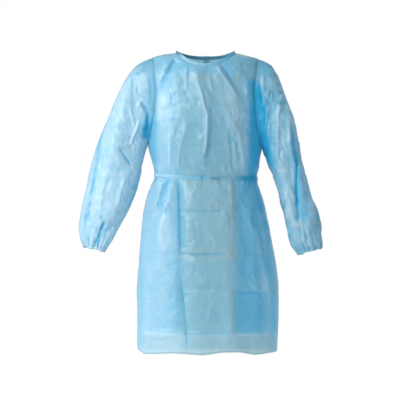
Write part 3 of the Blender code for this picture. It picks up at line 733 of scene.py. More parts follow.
# x and z of the front panel's points, row by row from neck to hem.
def frontPlan():
    leftX, leftZ = shoulderSeam("left", grid["shoulderColumns"])
    rightX, rightZ = shoulderSeam("right", grid["shoulderColumns"])
    neckColumns = grid["frontColumns"] - 2 * grid["shoulderColumns"]
    turn = np.linspace(-np.pi / 2, np.pi / 2, neckColumns + 1)
    neckX = np.where(turn < 0, -leftX[-1], rightX[-1]) * np.sin(turn)
    topX = np.concatenate([leftX, neckX[1:-1], rightX[::-1]])
    topZ = np.concatenate([leftZ, necklineZ(neckX[1:-1], "front"), rightZ[::-1]])
    sines = np.sin(np.linspace(-np.pi / 2, np.pi / 2, grid["frontColumns"] + 1))
    bottom = (armpitX(sines), armpitLevel(armpitX(sines)))
    x, z = yokeGrid((topX, topZ), bottom, armholeCurve("left"), armholeCurve("right"))
    lowX, lowZ = lowerRows(sines, hemRise)
    return np.concatenate([x, lowX]), np.concatenate([z, lowZ])


def backHemRise(x):
    reach = reachAt(x, form["hemZ"] + 0 * x)
    edge = np.where(x < 0, hemRise(-reach), hemRise(reach))
    return edge * np.abs(x / reach) ** form["hemCornerPower"]


# x and z of a back panel's points, from its centre edge to its side.
def backPlan(side):
    sign = sideSign[side]
    seamX, seamZ = shoulderSeam(side, grid["backShoulderColumns"])
    neckColumns = grid["backColumns"] - grid["backShoulderColumns"]
    edge = -sign * overlapAt(backNeckZ)
    neckX = blend(edge, seamX[-1], np.sin(np.linspace(0, np.pi / 2, neckColumns + 1)))
    topX = np.concatenate([neckX[:-1], seamX[::-1]])
    topZ = np.concatenate([necklineZ(neckX[:-1], "back"), seamZ[::-1]])
    reach = armpitReach(side)
    lowEdge = -sign * overlapAt(form["armpitZ"][side])
    angles = np.linspace(np.arcsin(sign * lowEdge / reach), np.pi / 2, grid["backColumns"] + 1)
    bottomX = sign * reach * np.sin(angles)
    edgeZ = blend(topZ[0], armpitLevel(lowEdge), rowFractions())
    edgeX = -sign * overlapAt(edgeZ)
    x, z = yokeGrid((topX, topZ), (bottomX, armpitLevel(bottomX)), (edgeX, edgeZ), armholeCurve(side))
    _, lowZ = lowerRows(sign * np.sin(angles), backHemRise)
    start = np.arcsin(-overlapAt(lowZ[:, :1]) / reachOf[side](lowZ[:, :1]))
    place = np.linspace(0, 1, grid["backColumns"] + 1)[None, :]
    lowX = sign * reachOf[side](lowZ) * np.sin(blend(start, np.pi / 2, place))
    return np.concatenate([x, lowX]), np.concatenate([z, lowZ])


def backTuck(x, z):
    return tuckAt(z) * ease(1 - (x - overlapAt(z)) / tuckFade)


# The quads of a grid of points, and the row and column of each corner.
def gridFaces(rows, columns, closed=False, flip=False, ring=False):
    downs = rows if ring else rows - 1
    acrosses = columns if closed else columns - 1
    j, i = np.meshgrid(np.arange(downs), np.arange(acrosses), indexing="ij")
    k, m = (i + 1) % columns, (j + 1) % rows
    quads = [j * columns + i, m * columns + i, m * columns + k, j * columns + k]
    corners = [(j, i), (j + 1, i), (j + 1, i + 1), (j, i + 1)]
    faces = np.stack(quads, axis=-1).reshape(-1, 4)
    places = np.stack([np.stack(corner, axis=-1) for corner in corners], axis=2).reshape(-1, 4, 2)
    return (faces[:, ::-1], places[:, ::-1]) if flip else (faces, places)


def pointNormals(points, faces):
    corner = points[faces]
    across = np.cross(corner[:, 2] - corner[:, 0], corner[:, 3] - corner[:, 1])
    total = np.zeros(points.shape)
    for k in range(4):
        np.add.at(total, faces[:, k], across)
    return total / np.maximum(np.linalg.norm(total, axis=1, keepdims=True), 1e-12)


# The edges that only one face has, in that face's direction.
def rimEdges(faces):
    edges = np.concatenate([faces[:, [k, (k + 1) % 4]] for k in range(4)])
    forward = set(map(tuple, edges.tolist()))
    return [(a, b) for a, b in forward if (b, a) not in forward]


# Metres across and along the cloth at every corner of the grid, for its bond points and seams.
def clothPlaces(points, closed, ring):
    if closed:
        points = np.concatenate([points, points[:, :1]], axis=1)
    if ring:
        points = np.concatenate([points, points[:1]], axis=0)
    along = np.linalg.norm(np.diff(points, axis=1), axis=2)
    down = np.linalg.norm(np.diff(points, axis=0), axis=2).mean(axis=1)
    u = np.concatenate([np.zeros((len(points), 1)), np.cumsum(along, axis=1)], axis=1)
    u -= u[:, u.shape[1] // 2 : u.shape[1] // 2 + 1]
    v = np.concatenate([[0], np.cumsum(down)])
    return np.stack([u, np.broadcast_to(v[:, None], u.shape)], axis=-1)


# A thin closed shell whose outside is the grid of points. Closed joins the last column to the
# first, ring the last row, and flip turns the outside round.
def addCloth(name, points, material, tone, closed=False, flip=False, ring=False, wall=form["clothWall"]):
    rows, columns = points.shape[:2]
    faces, places = gridFaces(rows, columns, closed, flip, ring)
    spots = clothPlaces(points, closed, ring)
    points = points.reshape(-1, 3)
    count = len(points)
    both = np.concatenate([points, points - pointNormals(points, faces) * wall])
    rim = np.array([[b, a, a + count, b + count] for a, b in sorted(rimEdges(faces))], int).reshape(-1, 4)
    every = np.concatenate([faces, faces[:, ::-1] + count, rim])
    mesh = bpy.data.meshes.new(name)
    mesh.from_pydata(both.tolist(), [], every.tolist())
    outer = spots[places[..., 0], places[..., 1]]
    edge = spots[:rows, :columns].reshape(-1, 2)[rim % count]
    layer = mesh.uv_layers.new(name="cut")
    layer.data.foreach_set("uv", np.concatenate([outer, outer[:, ::-1], edge]).astype(np.float32).ravel())
    mesh.shade_smooth()
    shades = np.concatenate([tone.reshape(count, -1)] * 2).astype(np.float32)
    layer = mesh.attributes.new("tone", "FLOAT_COLOR", "POINT")
    layer.data.foreach_set("color", shades[:, :4].ravel())
    # the fifth shade is the share of painted shade
    layer = mesh.attributes.new("paintedShade", "FLOAT", "POINT")
    layer.data.foreach_set("value", shades[:, 4].copy())
    mesh.materials.append(material)
    piece = bpy.data.objects.new(name, mesh)
    bpy.context.collection.objects.link(piece)
    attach(piece, "root")
    return piece


# A strip folded double and pressed flat: a flat tube along its middle line.
def addStrip(name, middle, across, out, halfWidth, halfThick, tone, ring=False):
    section = np.array(stripSection)
    halfWidth = np.broadcast_to(halfWidth, len(middle))[:, None, None]
    points = middle[:, None] + section[None, :, :1] * halfWidth * across[:, None]
    points = points + section[None, :, 1:] * halfThick * out[:, None]
    heading = middle[1] - middle[0]
    flip = float(np.cross(heading, across[0]) @ out[0]) < 0
    tone = np.broadcast_to(tone, (*points.shape[:2], 5))
    return addCloth(name, points, trimCloth, tone, closed=True, flip=flip, ring=ring, wall=trims["wall"])


# Hides the solids that the piece stands for.
def settle(piece, slot, *nodes):
    if nodes:
        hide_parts(*nodes)
    return piece


# Half the surface of a closed shell, which is the cloth's own area.
def clothArea(piece):
    mesh = piece.data
    areas = np.zeros(len(mesh.polygons))
    mesh.polygons.foreach_get("area", areas)
    return round(float(areas.sum() / 2), 4)


cloth = {
    "middle": (0.22, 0.55, 0.73),
    "pale": (0.56, 0.77, 0.88),
    "deep": (0.006, 0.46, 0.73),
    "grey": (0.36, 0.56, 0.62),
    # the colour of the painted shade
    "paintedShade": (0.012, 0.17, 0.27),
    "bound": (0.22, 0.57, 0.80),
    "thread": (0.30, 0.62, 0.84),
    "roughness": 0.33,
    "sheen": 0.30,
    "sheenRoughness": 0.35,
    "see": 0.38,
    "seeTrim": 0.12,
    "seeTint": (0.88, 0.97, 1.0),
    "through": 0.30,
    "mottle": 0.035,
    "mottleScale": 34.0,
    "mottleDetail": 5.0,
    "mottleRough": 0.62,
    "mottleRange": (0.3, 0.7),
    # points for each metre, unevenness, depth and strength of the bond points and the seams' welds
    "bondPitch": 900.0,
    "bondUneven": 0.12,
    "bondTurn": 45,
    "bondDepth": 0.00012,
    "bondStrength": 0.6,
    "weldPitch": 330.0,
    "weldUneven": 0.0,
    "weldDepth": 0.0006,
    "weldStrength": 0.8,
    "wrinkleScale": 30.0,
    "wrinkleDetail": 3.0,
    "wrinkleDepth": 0.0034,
    "wrinkleStrength": 0.6,
    "plyScale": 2400.0,
    "plyDetail": 2.0,
    "plyShade": (0.8, 1.1),
    "threadRoughness": 0.5,
    "threadSheen": 0.2,
}


def mixColours(tree, factor, first, second):
    return addNode(tree, "ShaderNodeMix", data_type="RGBA", Factor=factor, A=first, B=second).outputs["Result"]


def multiply(tree, first, second):
    mix = addNode(tree, "ShaderNodeMix", data_type="RGBA", blend_type="MULTIPLY", Factor=1, A=first, B=second)
    return mix.outputs["Result"]


def mixShaders(tree, share, first, second):
    mix = addNode(tree, "ShaderNodeMixShader", Fac=share)
    tree.links.new(first.outputs[0], mix.inputs[1])
    tree.links.new(second.outputs[0], mix.inputs[2])
    return mix


# Dots at a pitch across the cloth, as the distance from the nearest one.
def dotField(tree, kind, places):
    dots = addNode(tree, "ShaderNodeTexVoronoi", voronoi_dimensions="2D", Vector=places)
    setNode(tree, dots, Scale=cloth[f"{kind}Pitch"], Randomness=cloth[f"{kind}Uneven"])
    return dots.outputs["Distance"]


def bump(tree, kind, height, **under):
    strength, depth = cloth[f"{kind}Strength"], cloth[f"{kind}Depth"]
    raised = addNode(tree, "ShaderNodeBump", Strength=strength, Distance=depth, Height=height, **under)
    return raised.outputs["Normal"]


# Thin bonded fibre: it lets light through, is a little see-through and has a soft satin face.
def clothMaterial(name, base, see):
    material, tree = newMaterial(name)
    tree.nodes.clear()
    place = addNode(tree, "ShaderNodeTexCoord").outputs
    tone = addNode(tree, "ShaderNodeAttribute", attribute_name="tone").outputs
    paintedShadeShare = addNode(tree, "ShaderNodeAttribute", attribute_name="paintedShade").outputs["Fac"]
    parts = addNode(tree, "ShaderNodeSeparateColor", Color=tone["Color"]).outputs
    # painted light and shade from the tone attribute: paler for painted light, deeper blue for painted shade,
    # and greyer patches
    colour = mixColours(tree, parts["Blue"], base, cloth["pale"])
    colour = mixColours(tree, parts["Red"], colour, cloth["grey"])
    colour = mixColours(tree, parts["Green"], colour, cloth["deep"])
    # painted shade in a dark teal at edges that turn away from view, on the shoulder tops, at the hems and on
    # shaded parts of the neck band and belt
    colour = mixColours(tree, paintedShadeShare, colour, cloth["paintedShade"])
    # cloudy web of fibres
    cloud = addNode(tree, "ShaderNodeTexNoise", Vector=place["Object"], Scale=cloth["mottleScale"])
    setNode(tree, cloud, Detail=cloth["mottleDetail"], Roughness=cloth["mottleRough"])
    spread = addNode(tree, "ShaderNodeMapRange", Value=cloud.outputs["Fac"])
    setNode(tree, spread, From_Min=cloth["mottleRange"][0], From_Max=cloth["mottleRange"][1])
    setNode(tree, spread, To_Min=1 - cloth["mottle"], To_Max=1 + cloth["mottle"])
    colour = multiply(tree, colour, spread.outputs["Result"])
    # rows of bond points, turned to the diagonal of the web
    turned = addNode(tree, "ShaderNodeMapping", Vector=place["UV"])
    setNode(tree, turned, Rotation=(0, 0, math.radians(cloth["bondTurn"])))
    raised = bump(tree, "bond", dotField(tree, "bond", turned.outputs["Vector"]))
    # larger weld points along the seams
    onSeam = addNode(tree, "ShaderNodeMath", operation="MULTIPLY", Value=dotField(tree, "weld", place["UV"]))
    tree.links.new(tone["Alpha"], onSeam.inputs[1])
    raised = bump(tree, "weld", onSeam.outputs["Value"], Normal=raised)
    # fine wrinkles, sharp on their crests
    wrinkle = addNode(tree, "ShaderNodeTexNoise", noise_type="RIDGED_MULTIFRACTAL", Vector=place["Object"])
    setNode(tree, wrinkle, Scale=cloth["wrinkleScale"], Detail=cloth["wrinkleDetail"])
    raised = bump(tree, "wrinkle", wrinkle.outputs["Fac"], Normal=raised)
    face = addNode(tree, "ShaderNodeBsdfPrincipled", Base_Color=colour, Normal=raised)
    setNode(tree, face, Roughness=cloth["roughness"])
    setNode(tree, face, Sheen_Weight=cloth["sheen"], Sheen_Roughness=cloth["sheenRoughness"])
    glow = addNode(tree, "ShaderNodeBsdfTranslucent", Color=colour, Normal=raised)
    clear = addNode(tree, "ShaderNodeBsdfTransparent", Color=cloth["seeTint"])
    thin = mixShaders(tree, see, mixShaders(tree, cloth["through"], face, glow), clear)
    addNode(tree, "ShaderNodeOutputMaterial", Surface=thin.outputs["Shader"])
    return material


# Polyester thread, twisted, with a light sheen.
def threadMaterial(name):
    material, tree = newMaterial(name)
    place = addNode(tree, "ShaderNodeTexCoord").outputs["Object"]
    ply = addNode(tree, "ShaderNodeTexNoise", Vector=place, Scale=cloth["plyScale"], Detail=cloth["plyDetail"])
    low, high = cloth["plyShade"]
    light = addNode(tree, "ShaderNodeMapRange", Value=ply.outputs["Fac"], To_Min=low, To_Max=high)
    shade = multiply(tree, cloth["thread"], light.outputs["Result"])
    face = setNode(tree, tree.nodes["Principled BSDF"], Base_Color=shade, Roughness=cloth["threadRoughness"])
    setNode(tree, face, Sheen_Weight=cloth["threadSheen"])
    return material


gownCloth = clothMaterial("gownCloth", cloth["middle"], cloth["see"])
trimCloth = clothMaterial("trimCloth", cloth["bound"], cloth["seeTrim"])
sewingThread = threadMaterial("sewingThread")
print("the cloths are ready")

# Painted light and shade, and greyer patches: tint, amount, and in mm softness, x1, x2, z1, z2
# On the front and sleeves pale is painted light on the side towards the key lamp, deep is painted shade on the
# far side and in the armpits, and grey is greyer cloth over the middle and painted shade on the shoulders; the
# hem is paler.
toneAreas = {
    "front": [
        ("pale", 0.45, 60, -300, -125, -1200, 10),
        ("pale", 0.25, 50, -178, -140, -283, -168),
        ("grey", 0.50, 30, -118, 130, -300, -90),
        ("grey", 0.58, 30, -118, 130, -490, -300),
        ("pale", 0.20, 60, -80, 110, -270, -100),
        ("grey", 0.80, 30, -100, 112, -785, -486),
        ("grey", 0.66, 40, -100, 112, -1066, -760),
        ("grey", 0.65, 30, -215, -115, -75, 10),
        ("deep", 0.30, 30, -215, -125, -80, 10),
        ("deep", 0.25, 40, 115, 215, -85, 10),
        ("pale", 0.35, 45, 62, 126, -290, -170),
        ("pale", 0.25, 40, -176, -112, -760, -500),
        ("grey", 0.75, 30, 110, 215, -110, 10),
        ("grey", 0.35, 30, -60, 70, -130, -20),
        ("pale", 0.85, 6, -270, 235, -1160, -1068),
        ("pale", 0.60, 60, -270, -90, -1160, -1068),
        ("grey", 0.40, 10, -270, 290, -1160, -1072),
        ("grey", 0.45, 40, -80, 290, -1160, -1072),
        ("pale", 0.40, 40, 75, 165, -460, -120),
        ("deep", 0.55, 30, -223, -188, -500, -130),
        ("deep", 0.95, 30, 160, 230, -500, -110),
        ("deep", 0.35, 60, 120, 240, -860, -480),
        ("deep", 0.36, 60, 116, 240, -1062, -914),
        ("deep", 0.30, 40, -275, -238, -1160, -600),
        ("deep", 0.22, 50, 235, 290, -1160, -800),
        ("deep", 0.26, 20, -176, -128, -620, -486),
    ],
    "back": [
        ("pale", 0.30, 80, -300, -80, -1200, 10),
        ("pale", 0.22, 60, 90, 300, -1000, -300),
        ("grey", 0.45, 50, -90, 110, -1066, -100),
        ("grey", 0.45, 40, -215, 215, -80, 10),
        ("pale", 0.40, 6, -270, 290, -1160, -1068),
        ("deep", 0.30, 30, -223, -188, -500, -130),
        ("deep", 0.35, 30, 180, 230, -520, -200),
        ("deep", 0.25, 12, -240, -110, -911, -770),
        ("deep", 0.20, 12, 104, 230, -1064, -911),
    ],
    "left": [
        ("pale", 0.62, 50, -520, -220, -800, -60),
        ("pale", 0.40, 10, -268, -226, -142, -92),
        ("grey", 0.45, 40, -300, -200, -75, 10),
        ("deep", 0.25, 30, -280, -200, -60, 10),
        ("deep", 0.55, 30, -255, -190, -330, -270),
    ],
    "right": [
        ("grey", 0.50, 50, 150, 320, -180, 10),
        ("deep", 0.30, 40, 180, 300, -95, 10),
        ("grey", 0.25, 40, 240, 480, -780, -180),
        ("pale", 0.22, 40, 255, 350, -660, -200),
        ("pale", 0.40, 50, 280, 440, -740, -420),
        ("pale", 0.50, 12, 190, 221, -172, -99),
        ("deep", 0.30, 30, 330, 470, -640, -300),
    ],
}
# Narrow streaks of the same, painted highlights along ridges and painted shade along folds and in the right
# armpit: tint, amount, and in mm half-width and path
toneStreaks = {
    "front": [
        ("deep", 0.95, 16, [(196, -120), (206, -200), (214, -290), (218, -400)]),
        ("deep", 0.60, 10, [(178, -470), (200, -560), (225, -640), (245, -740)]),
        ("deep", 0.25, 8, [(104, -911), (160, -913), (205, -911)]),
        ("pale", 0.45, 10, [(192, -600), (215, -700), (232, -800)]),
        ("deep", 0.55, 4, [(-109, -490), (-108, -620), (-108, -770)]),
        ("deep", 0.35, 3.5, [(-98, -860), (-86, -960), (-75, -1140)]),
        ("deep", 0.45, 6, [(-225, -60), (-208, -110), (-202, -180)]),
        ("pale", 0.40, 8, [(-36, -65), (-6, -222), (3, -252), (-3, -367), (-21, -428)]),
        ("deep", 0.35, 7, [(10, -180), (16, -252), (10, -350), (-6, -428)]),
    ],
    "back": [
        ("deep", 0.50, 5, [(0, -30), (18, -120), (50, -360), (58, -800), (60, -1140)]),
        ("deep", 0.35, 5, [(-105, -560), (-103, -700), (-106, -880), (-98, -1140)]),
    ],
    "left": [
        ("deep", 0.60, 14, [(-222, -230), (-226, -300), (-238, -350)]),
        ("deep", 0.45, 6,
            [(-262, -60), (-330, -140), (-395, -300), (-434, -504), (-462, -640), (-456, -735)]),
        ("deep", 0.35, 10, [(-250, -430), (-262, -520), (-300, -610)]),
        ("deep", 0.55, 7, [(-384, -642), (-404, -690), (-420, -741)]),
    ],
    "right": [
        ("deep", 1.30, 30, [(186, -85), (196, -160), (208, -250), (220, -350), (236, -430), (250, -480)]),
        ("deep", 0.50, 7, [(311, -252), (327, -363), (342, -439), (340, -520), (350, -661)]),
        ("deep", 0.55, 8, [(268, -60), (300, -160), (345, -300), (372, -440), (425, -640)]),
        ("deep", 0.40, 10, [(250, -470), (275, -560), (300, -650), (330, -740)]),
    ],
}
# Painted light and shade: paler on raised creases, gathers and facets, deeper blue in their hollows, paler
# towards the lit left side, and painted shade at the sides, shoulders, sleeve edges and hems
toneLook = {
    "creasePale": 0.60,
    "creaseDeep": 0.34,
    "creaseFull": 0.0042,
    "gathers": {"body": 0.6, "cuff": 0.5},
    "facet": 0.20,
    "litSide": 0.30,
    "litReach": 0.5,
    "sideDark": 0.35,
    "sideReach": 0.10,
    "sideFrom": 0.02,
    "sideOver": 0.05,
    "shoulderDark": 0.55,
    "shoulderReach": 0.0045,
    "shoulderFromX": 0.112,
    "sleeveDark": {"left": 0.32, "right": 0.50},
    "sleeveReach": 0.34,
    "underDark": 0.8,
    "hemDark": 0.30,
}
toneOrder = {"grey": 0, "deep": 1, "pale": 2}


# Five shades for each point: how grey the cloth looks, how deep its blue is, how pale, where it is welded, and
# how much painted shade darkens it. Deep is painted shade and pale painted light where they follow creases,
# facets and the lit side.
def toneOf(where, x, z, crease=0.0, facet=0.0, weld=0.0):
    shades = np.zeros((*x.shape, 5))
    for tint, amount, *area in toneAreas[where]:
        soft, x1, x2, z1, z2 = np.array(area) / 1000
        wideway = ease((x - x1) / soft + 0.5) * ease((x2 - x) / soft + 0.5)
        upway = ease((z - z1) / soft + 0.5) * ease((z2 - z) / soft + 0.5)
        shades[..., toneOrder[tint]] += amount * wideway * upway
    for tint, amount, width, path in toneStreaks[where]:
        line = [("ridge", width / 1000, amount, np.array(path) / 1000)]
        streak = creaseHeight(line, x.ravel(), z.ravel()).reshape(x.shape)
        shades[..., toneOrder[tint]] += streak
        if tint != "grey":
            shades[..., toneOrder["grey"]] *= 1 - streak
    # painted highlight on raised creases and gathers, painted shade in their hollows
    shades[..., 2] += toneLook["creasePale"] * np.clip(crease / toneLook["creaseFull"], 0, 1)
    shades[..., 1] += toneLook["creaseDeep"] * np.clip(-crease / toneLook["creaseFull"], 0, 1)
    # painted light on raised facets and towards the key lamp on the left, painted shade in sunken facets
    shades[..., 2] += toneLook["facet"] * facet + toneLook["litSide"] * ease(-x / toneLook["litReach"])
    shades[..., 1] -= toneLook["facet"] * facet
    shades[..., 3] = weld
    return np.clip(shades, 0, 1)


waist = {
    "belowBelt": 0.0006,
    "besideBelt": 0.018,
    "lean": 0.35,
    "spread": 3.5,
    # in mm: x at the belt, half-width, height, reach above, reach below
    "frontPleats": [
        (-178, 8, 3.6, 30, 60),
        (-150, 7, -3.4, 22, 50),
        (-124, 6, 3.8, 30, 45),
        (-103, 5, -3.6, 18, 70),
        (-74, 6, 2.6, 16, 30),
        (-30, 4, 3, 14, 22),
        (-14, 4, -3, 16, 30),
        (14, 5, 2.2, 20, 26),
        (52, 7, -2.4, 22, 36),
        (88, 6, 3.4, 28, 80),
        (107, 6, -3, 20, 50),
        (136, 7, 3.6, 34, 52),
        (164, 7, -3.4, 26, 44),
        (182, 6, 3, 30, 50),
    ],
    "backPleats": [
        (-170, 8, 4, 40, 70),
        (-140, 7, -3.6, 30, 60),
        (-112, 8, 4.6, 36, 80),
        (-86, 6, -4, 30, 50),
        (-60, 6, 4.2, 40, 60),
        (-38, 5, -3.6, 30, 50),
        (36, 5, -3.6, 30, 60),
        (64, 6, 4.4, 44, 66),
        (90, 6, -4, 32, 54),
        (118, 8, 4.4, 38, 84),
        (148, 7, -3.6, 28, 50),
        (172, 7, 3.6, 34, 64),
    ],
}


# Uneven upright folds where the belt draws the cloth in.
def waistGathers(x, z, face):
    above = np.maximum(z - form["beltTopZ"], 0)
    below = np.maximum(beltLowZ - z, 0)
    total = np.zeros(np.shape(x))
    for place, width, height, up, down in np.array(waist[f"{face}Pleats"]) / 1000:
        lean = place * (1 + waist["lean"] * below)
        spread = width * (1 + waist["spread"] * (above + below))
        fade = np.exp(-((above / up) ** 2) - (below / down) ** 2)
        total += height * bell((x - lean) / spread) * fade
    return total


# Short fine creases, mostly upright: x1, x2, z1, z2, how many, length, lean in radians, height;
# lengths in mm
fineAreas = {
    "front": [
        (-170, 170, -450, -80, 90, 55, 0.35, 1.4),
        (-230, 240, -1060, -500, 150, 60, 0.50, 1.3),
        (-240, 250, -1140, -1060, 26, 35, 0.40, 1.2),
        (100, 190, -260, -40, 26, 40, 0.80, 1.8),
    ],
    "back": [
        (-170, 170, -450, -50, 80, 55, 0.40, 1.4),
        (-230, 240, -1130, -500, 150, 60, 0.50, 1.3),
    ],
    "left": [
        (-360, -210, -380, -60, 46, 50, 0.70, 1.6),
        (-460, -250, -660, -340, 60, 55, 0.50, 1.5),
        (-470, -350, -740, -620, 26, 35, 0.50, 2),
    ],
    "right": [
        (225, 300, -220, -100, 44, 22, 1.50, 2.2),
        (220, 340, -420, -100, 50, 50, 0.45, 1.8),
        (260, 410, -660, -380, 54, 55, 0.40, 1.7),
        (310, 430, -750, -620, 34, 30, 0.70, 2.2),
    ],
}


fineLook = {
    "sizes": (0.4, 1.4),
    "bend": 0.12,
    "signs": [-0.8, 1.0],
    "heights": (0.5, 1.4),
    "widths": (0.0045, 0.007),
    "bodySeed": 5,
    "sleeveSeed": 9,
}


def fineCreases(areas, seed):
    draw = np.random.default_rng(seed)
    made = []
    for *box, count, length, lean, height in areas:
        x1, x2, z1, z2, length, height = np.array([*box, length, height]) / 1000
        for _ in range(count):
            x, z = draw.uniform(x1, x2), draw.uniform(z1, z2)
            angle, size = draw.normal(0, lean), length * draw.uniform(*fineLook["sizes"])
            dx, dz = math.sin(angle) * size / 2, math.cos(angle) * size / 2
            bend = draw.normal(0, fineLook["bend"]) * size
            path = [(x - dx, z - dz), (x + bend, z), (x + dx, z + dz)]
            rise = height * draw.choice(fineLook["signs"]) * draw.uniform(*fineLook["heights"])
            made.append(("crest", draw.uniform(*fineLook["widths"]), rise, path))
    return made


# How far the panel stands out, its creases and its facets.
def panelPush(x, z, face):
    folds, creases = (frontFolds, frontCreases) if face == "front" else (backFolds, backCreases)
    away = np.maximum(np.maximum(z - form["beltTopZ"], beltLowZ - z), 0)
    besideBelt = ease(away / waist["besideBelt"])
    creases = inMetres(creases) + fineCreases(fineAreas[face], fineLook["bodySeed"])
    crease = creaseLook["strength"] * creaseHeight(creases, x, z) * sideFade(x, z)
    gathers = waistGathers(x, z, face)
    facet = crumple(torsoPoints(x, z, face)) * ease((form["neckZ"] - z) / creaseLook["neckFade"])
    main = foldHeight(folds, x, z) * sideFade(x, z)
    push = main + (crease + packingBulge(z) * sideFade(x, z) + gathers + facet) * besideBelt
    push = push - waist["belowBelt"] * (1 - besideBelt)
    return push, crease + toneLook["gathers"]["body"] * gathers, facet / creaseLook["facetHeight"]


def addHemShade(shades):
    shades[-2:, :, 4] = np.maximum(shades[-2:, :, 4], toneLook["hemDark"])
    return np.clip(shades, 0, 1)


# Painted shade along the panel's sides below the arms, where the cloth turns away from view, along the tops of
# the shoulders and at the hem; the side seams below the arms are welded.
def panelEdges(shades, x, z, sides):
    fromSide = np.pi / 2 - np.abs(np.arcsin(np.clip(x / reachAt(x, z), -1, 1)))
    belowArm = ease((armpitLevel(x) + toneLook["sideFrom"] - z) / toneLook["sideOver"])
    side = toneLook["sideDark"] * bell(fromSide / toneLook["sideReach"]) * belowArm
    onShoulder = np.abs(x) > toneLook["shoulderFromX"]
    shoulder = toneLook["shoulderDark"] * bell((z[:1] - z) / toneLook["shoulderReach"]) * onShoulder
    shades[..., 4] = np.maximum(side, shoulder)
    for columns in sides:
        shades[:, columns, 3] = belowArm[:, columns]
    return addHemShade(shades)


last = grid["yokeRows"]
frontX, frontZ = frontPlan()
push, crease, facet = panelPush(frontX, frontZ, "front")
front = torsoPoints(frontX, frontZ, "front", push)
shades = toneOf("front", frontX, frontZ, crease, facet)
seamSides = [slice(0, 2), slice(-2, None)]
frontPanel = addCloth("frontPanel", front, gownCloth, panelEdges(shades, frontX, frontZ, seamSides))
settle(frontPanel, "cloth", "front_panel")
backs, backPanels = {}, {}
for side in sideSign:
    backX, backZ = backPlan(side)
    tuck = backTuck(backX, backZ) if side == "right" else 0 * backX
    push, crease, facet = panelPush(backX, backZ, "back")
    backs[side] = torsoPoints(backX, backZ, "back", push - tuck)
    shades = panelEdges(toneOf("back", backX, backZ, crease, facet), backX, backZ, seamSides[1:])
    backPanels[side] = addCloth(f"backPanel.{side}", backs[side], gownCloth, shades, flip=side == "right")
    settle(backPanels[side], "cloth", f"back_panel_{side}")
print("the body is made")

# Places down the arm are counted in rings of the table
sleeveLook = {
    "armholeRings": 5,
    "waveFrom": 16.0,
    "waveOver": 2.5,
    "casingFrom": 18,
    "lastRing": 19,
    "drift": 0.35,
    "creaseLoss": 0.5,
    "gatherLoss": 0.6,
    "gatherFrom": 14.0,
    "gatherOver": 4.6,
    "gatherHeight": 0.0046,
    "casingPuff": 0.0016,
    "edgeWave": 0.0034,
    "edgeFolds": [(2, 0.7, 1.0), (3, 0.5, 2.4), (5, 0.5, 0.6), (9, 0.3, 4.0)],
    "casingGathers": 0.0018,
    # how many folds round the wrist, their share, and where each starts
    "wristFolds": [(9, 0.45, 0.4), (13, 0.55, 2.0), (19, 0.5, 5.0), (24, 0.35, 1.1)],
    "casingFolds": [(27, 0.6, 0.7), (34, 0.5, 3.1), (19, 0.5, 4.4)],
    "hiddenShift": (0.012, 0.021),
}


# The rings between the table's own, as smooth curves of their number.
def ringTable(side):
    table = np.array(sleeveRings[side]) / 1000
    count = len(table) - 1
    places = np.linspace(0, count, count * grid["ringsBetween"] + 1)
    return places, [smoothCurve(np.arange(count + 1), table[:, k])(places) for k in range(6)]


def ringPoints(side, ring, angles):
    outerX, outerZ, innerX, innerZ, depth, forward = ring
    sign = sideSign[side]
    outer = np.array([sign * outerX, -forward, outerZ])
    inner = np.array([sign * innerX, -forward, innerZ])
    middle = (outer + inner) / 2
    half = (outer - inner) / 2
    return middle + np.cos(angles)[:, None] * half + np.sin(angles)[:, None] * np.array([0, -depth, 0])


def sleevePush(side, place, angles):
    total = np.zeros(np.shape(angles))
    for ring1, angle1, ring2, angle2, halfWidth, height in sleeveFolds[side]:
        t = (place - ring1) / (ring2 - ring1)
        centre = blend(angle1, angle2, np.clip(t, 0, 1))
        off = (np.degrees(angles) - centre + 180) % 360 - 180
        ends = ease(0.5 + (0.5 - abs(t - 0.5)) * 3)
        total += height / 1000 * ends * bell(off / halfWidth)
    return total


# Waves round the sleeve, which drift apart along it.
def ripples(folds, angles, drift):
    total = 0
    for k, (count, share, start) in enumerate(folds):
        total = total + share * np.cos(count * angles + start + drift * (k - 1))
    return total


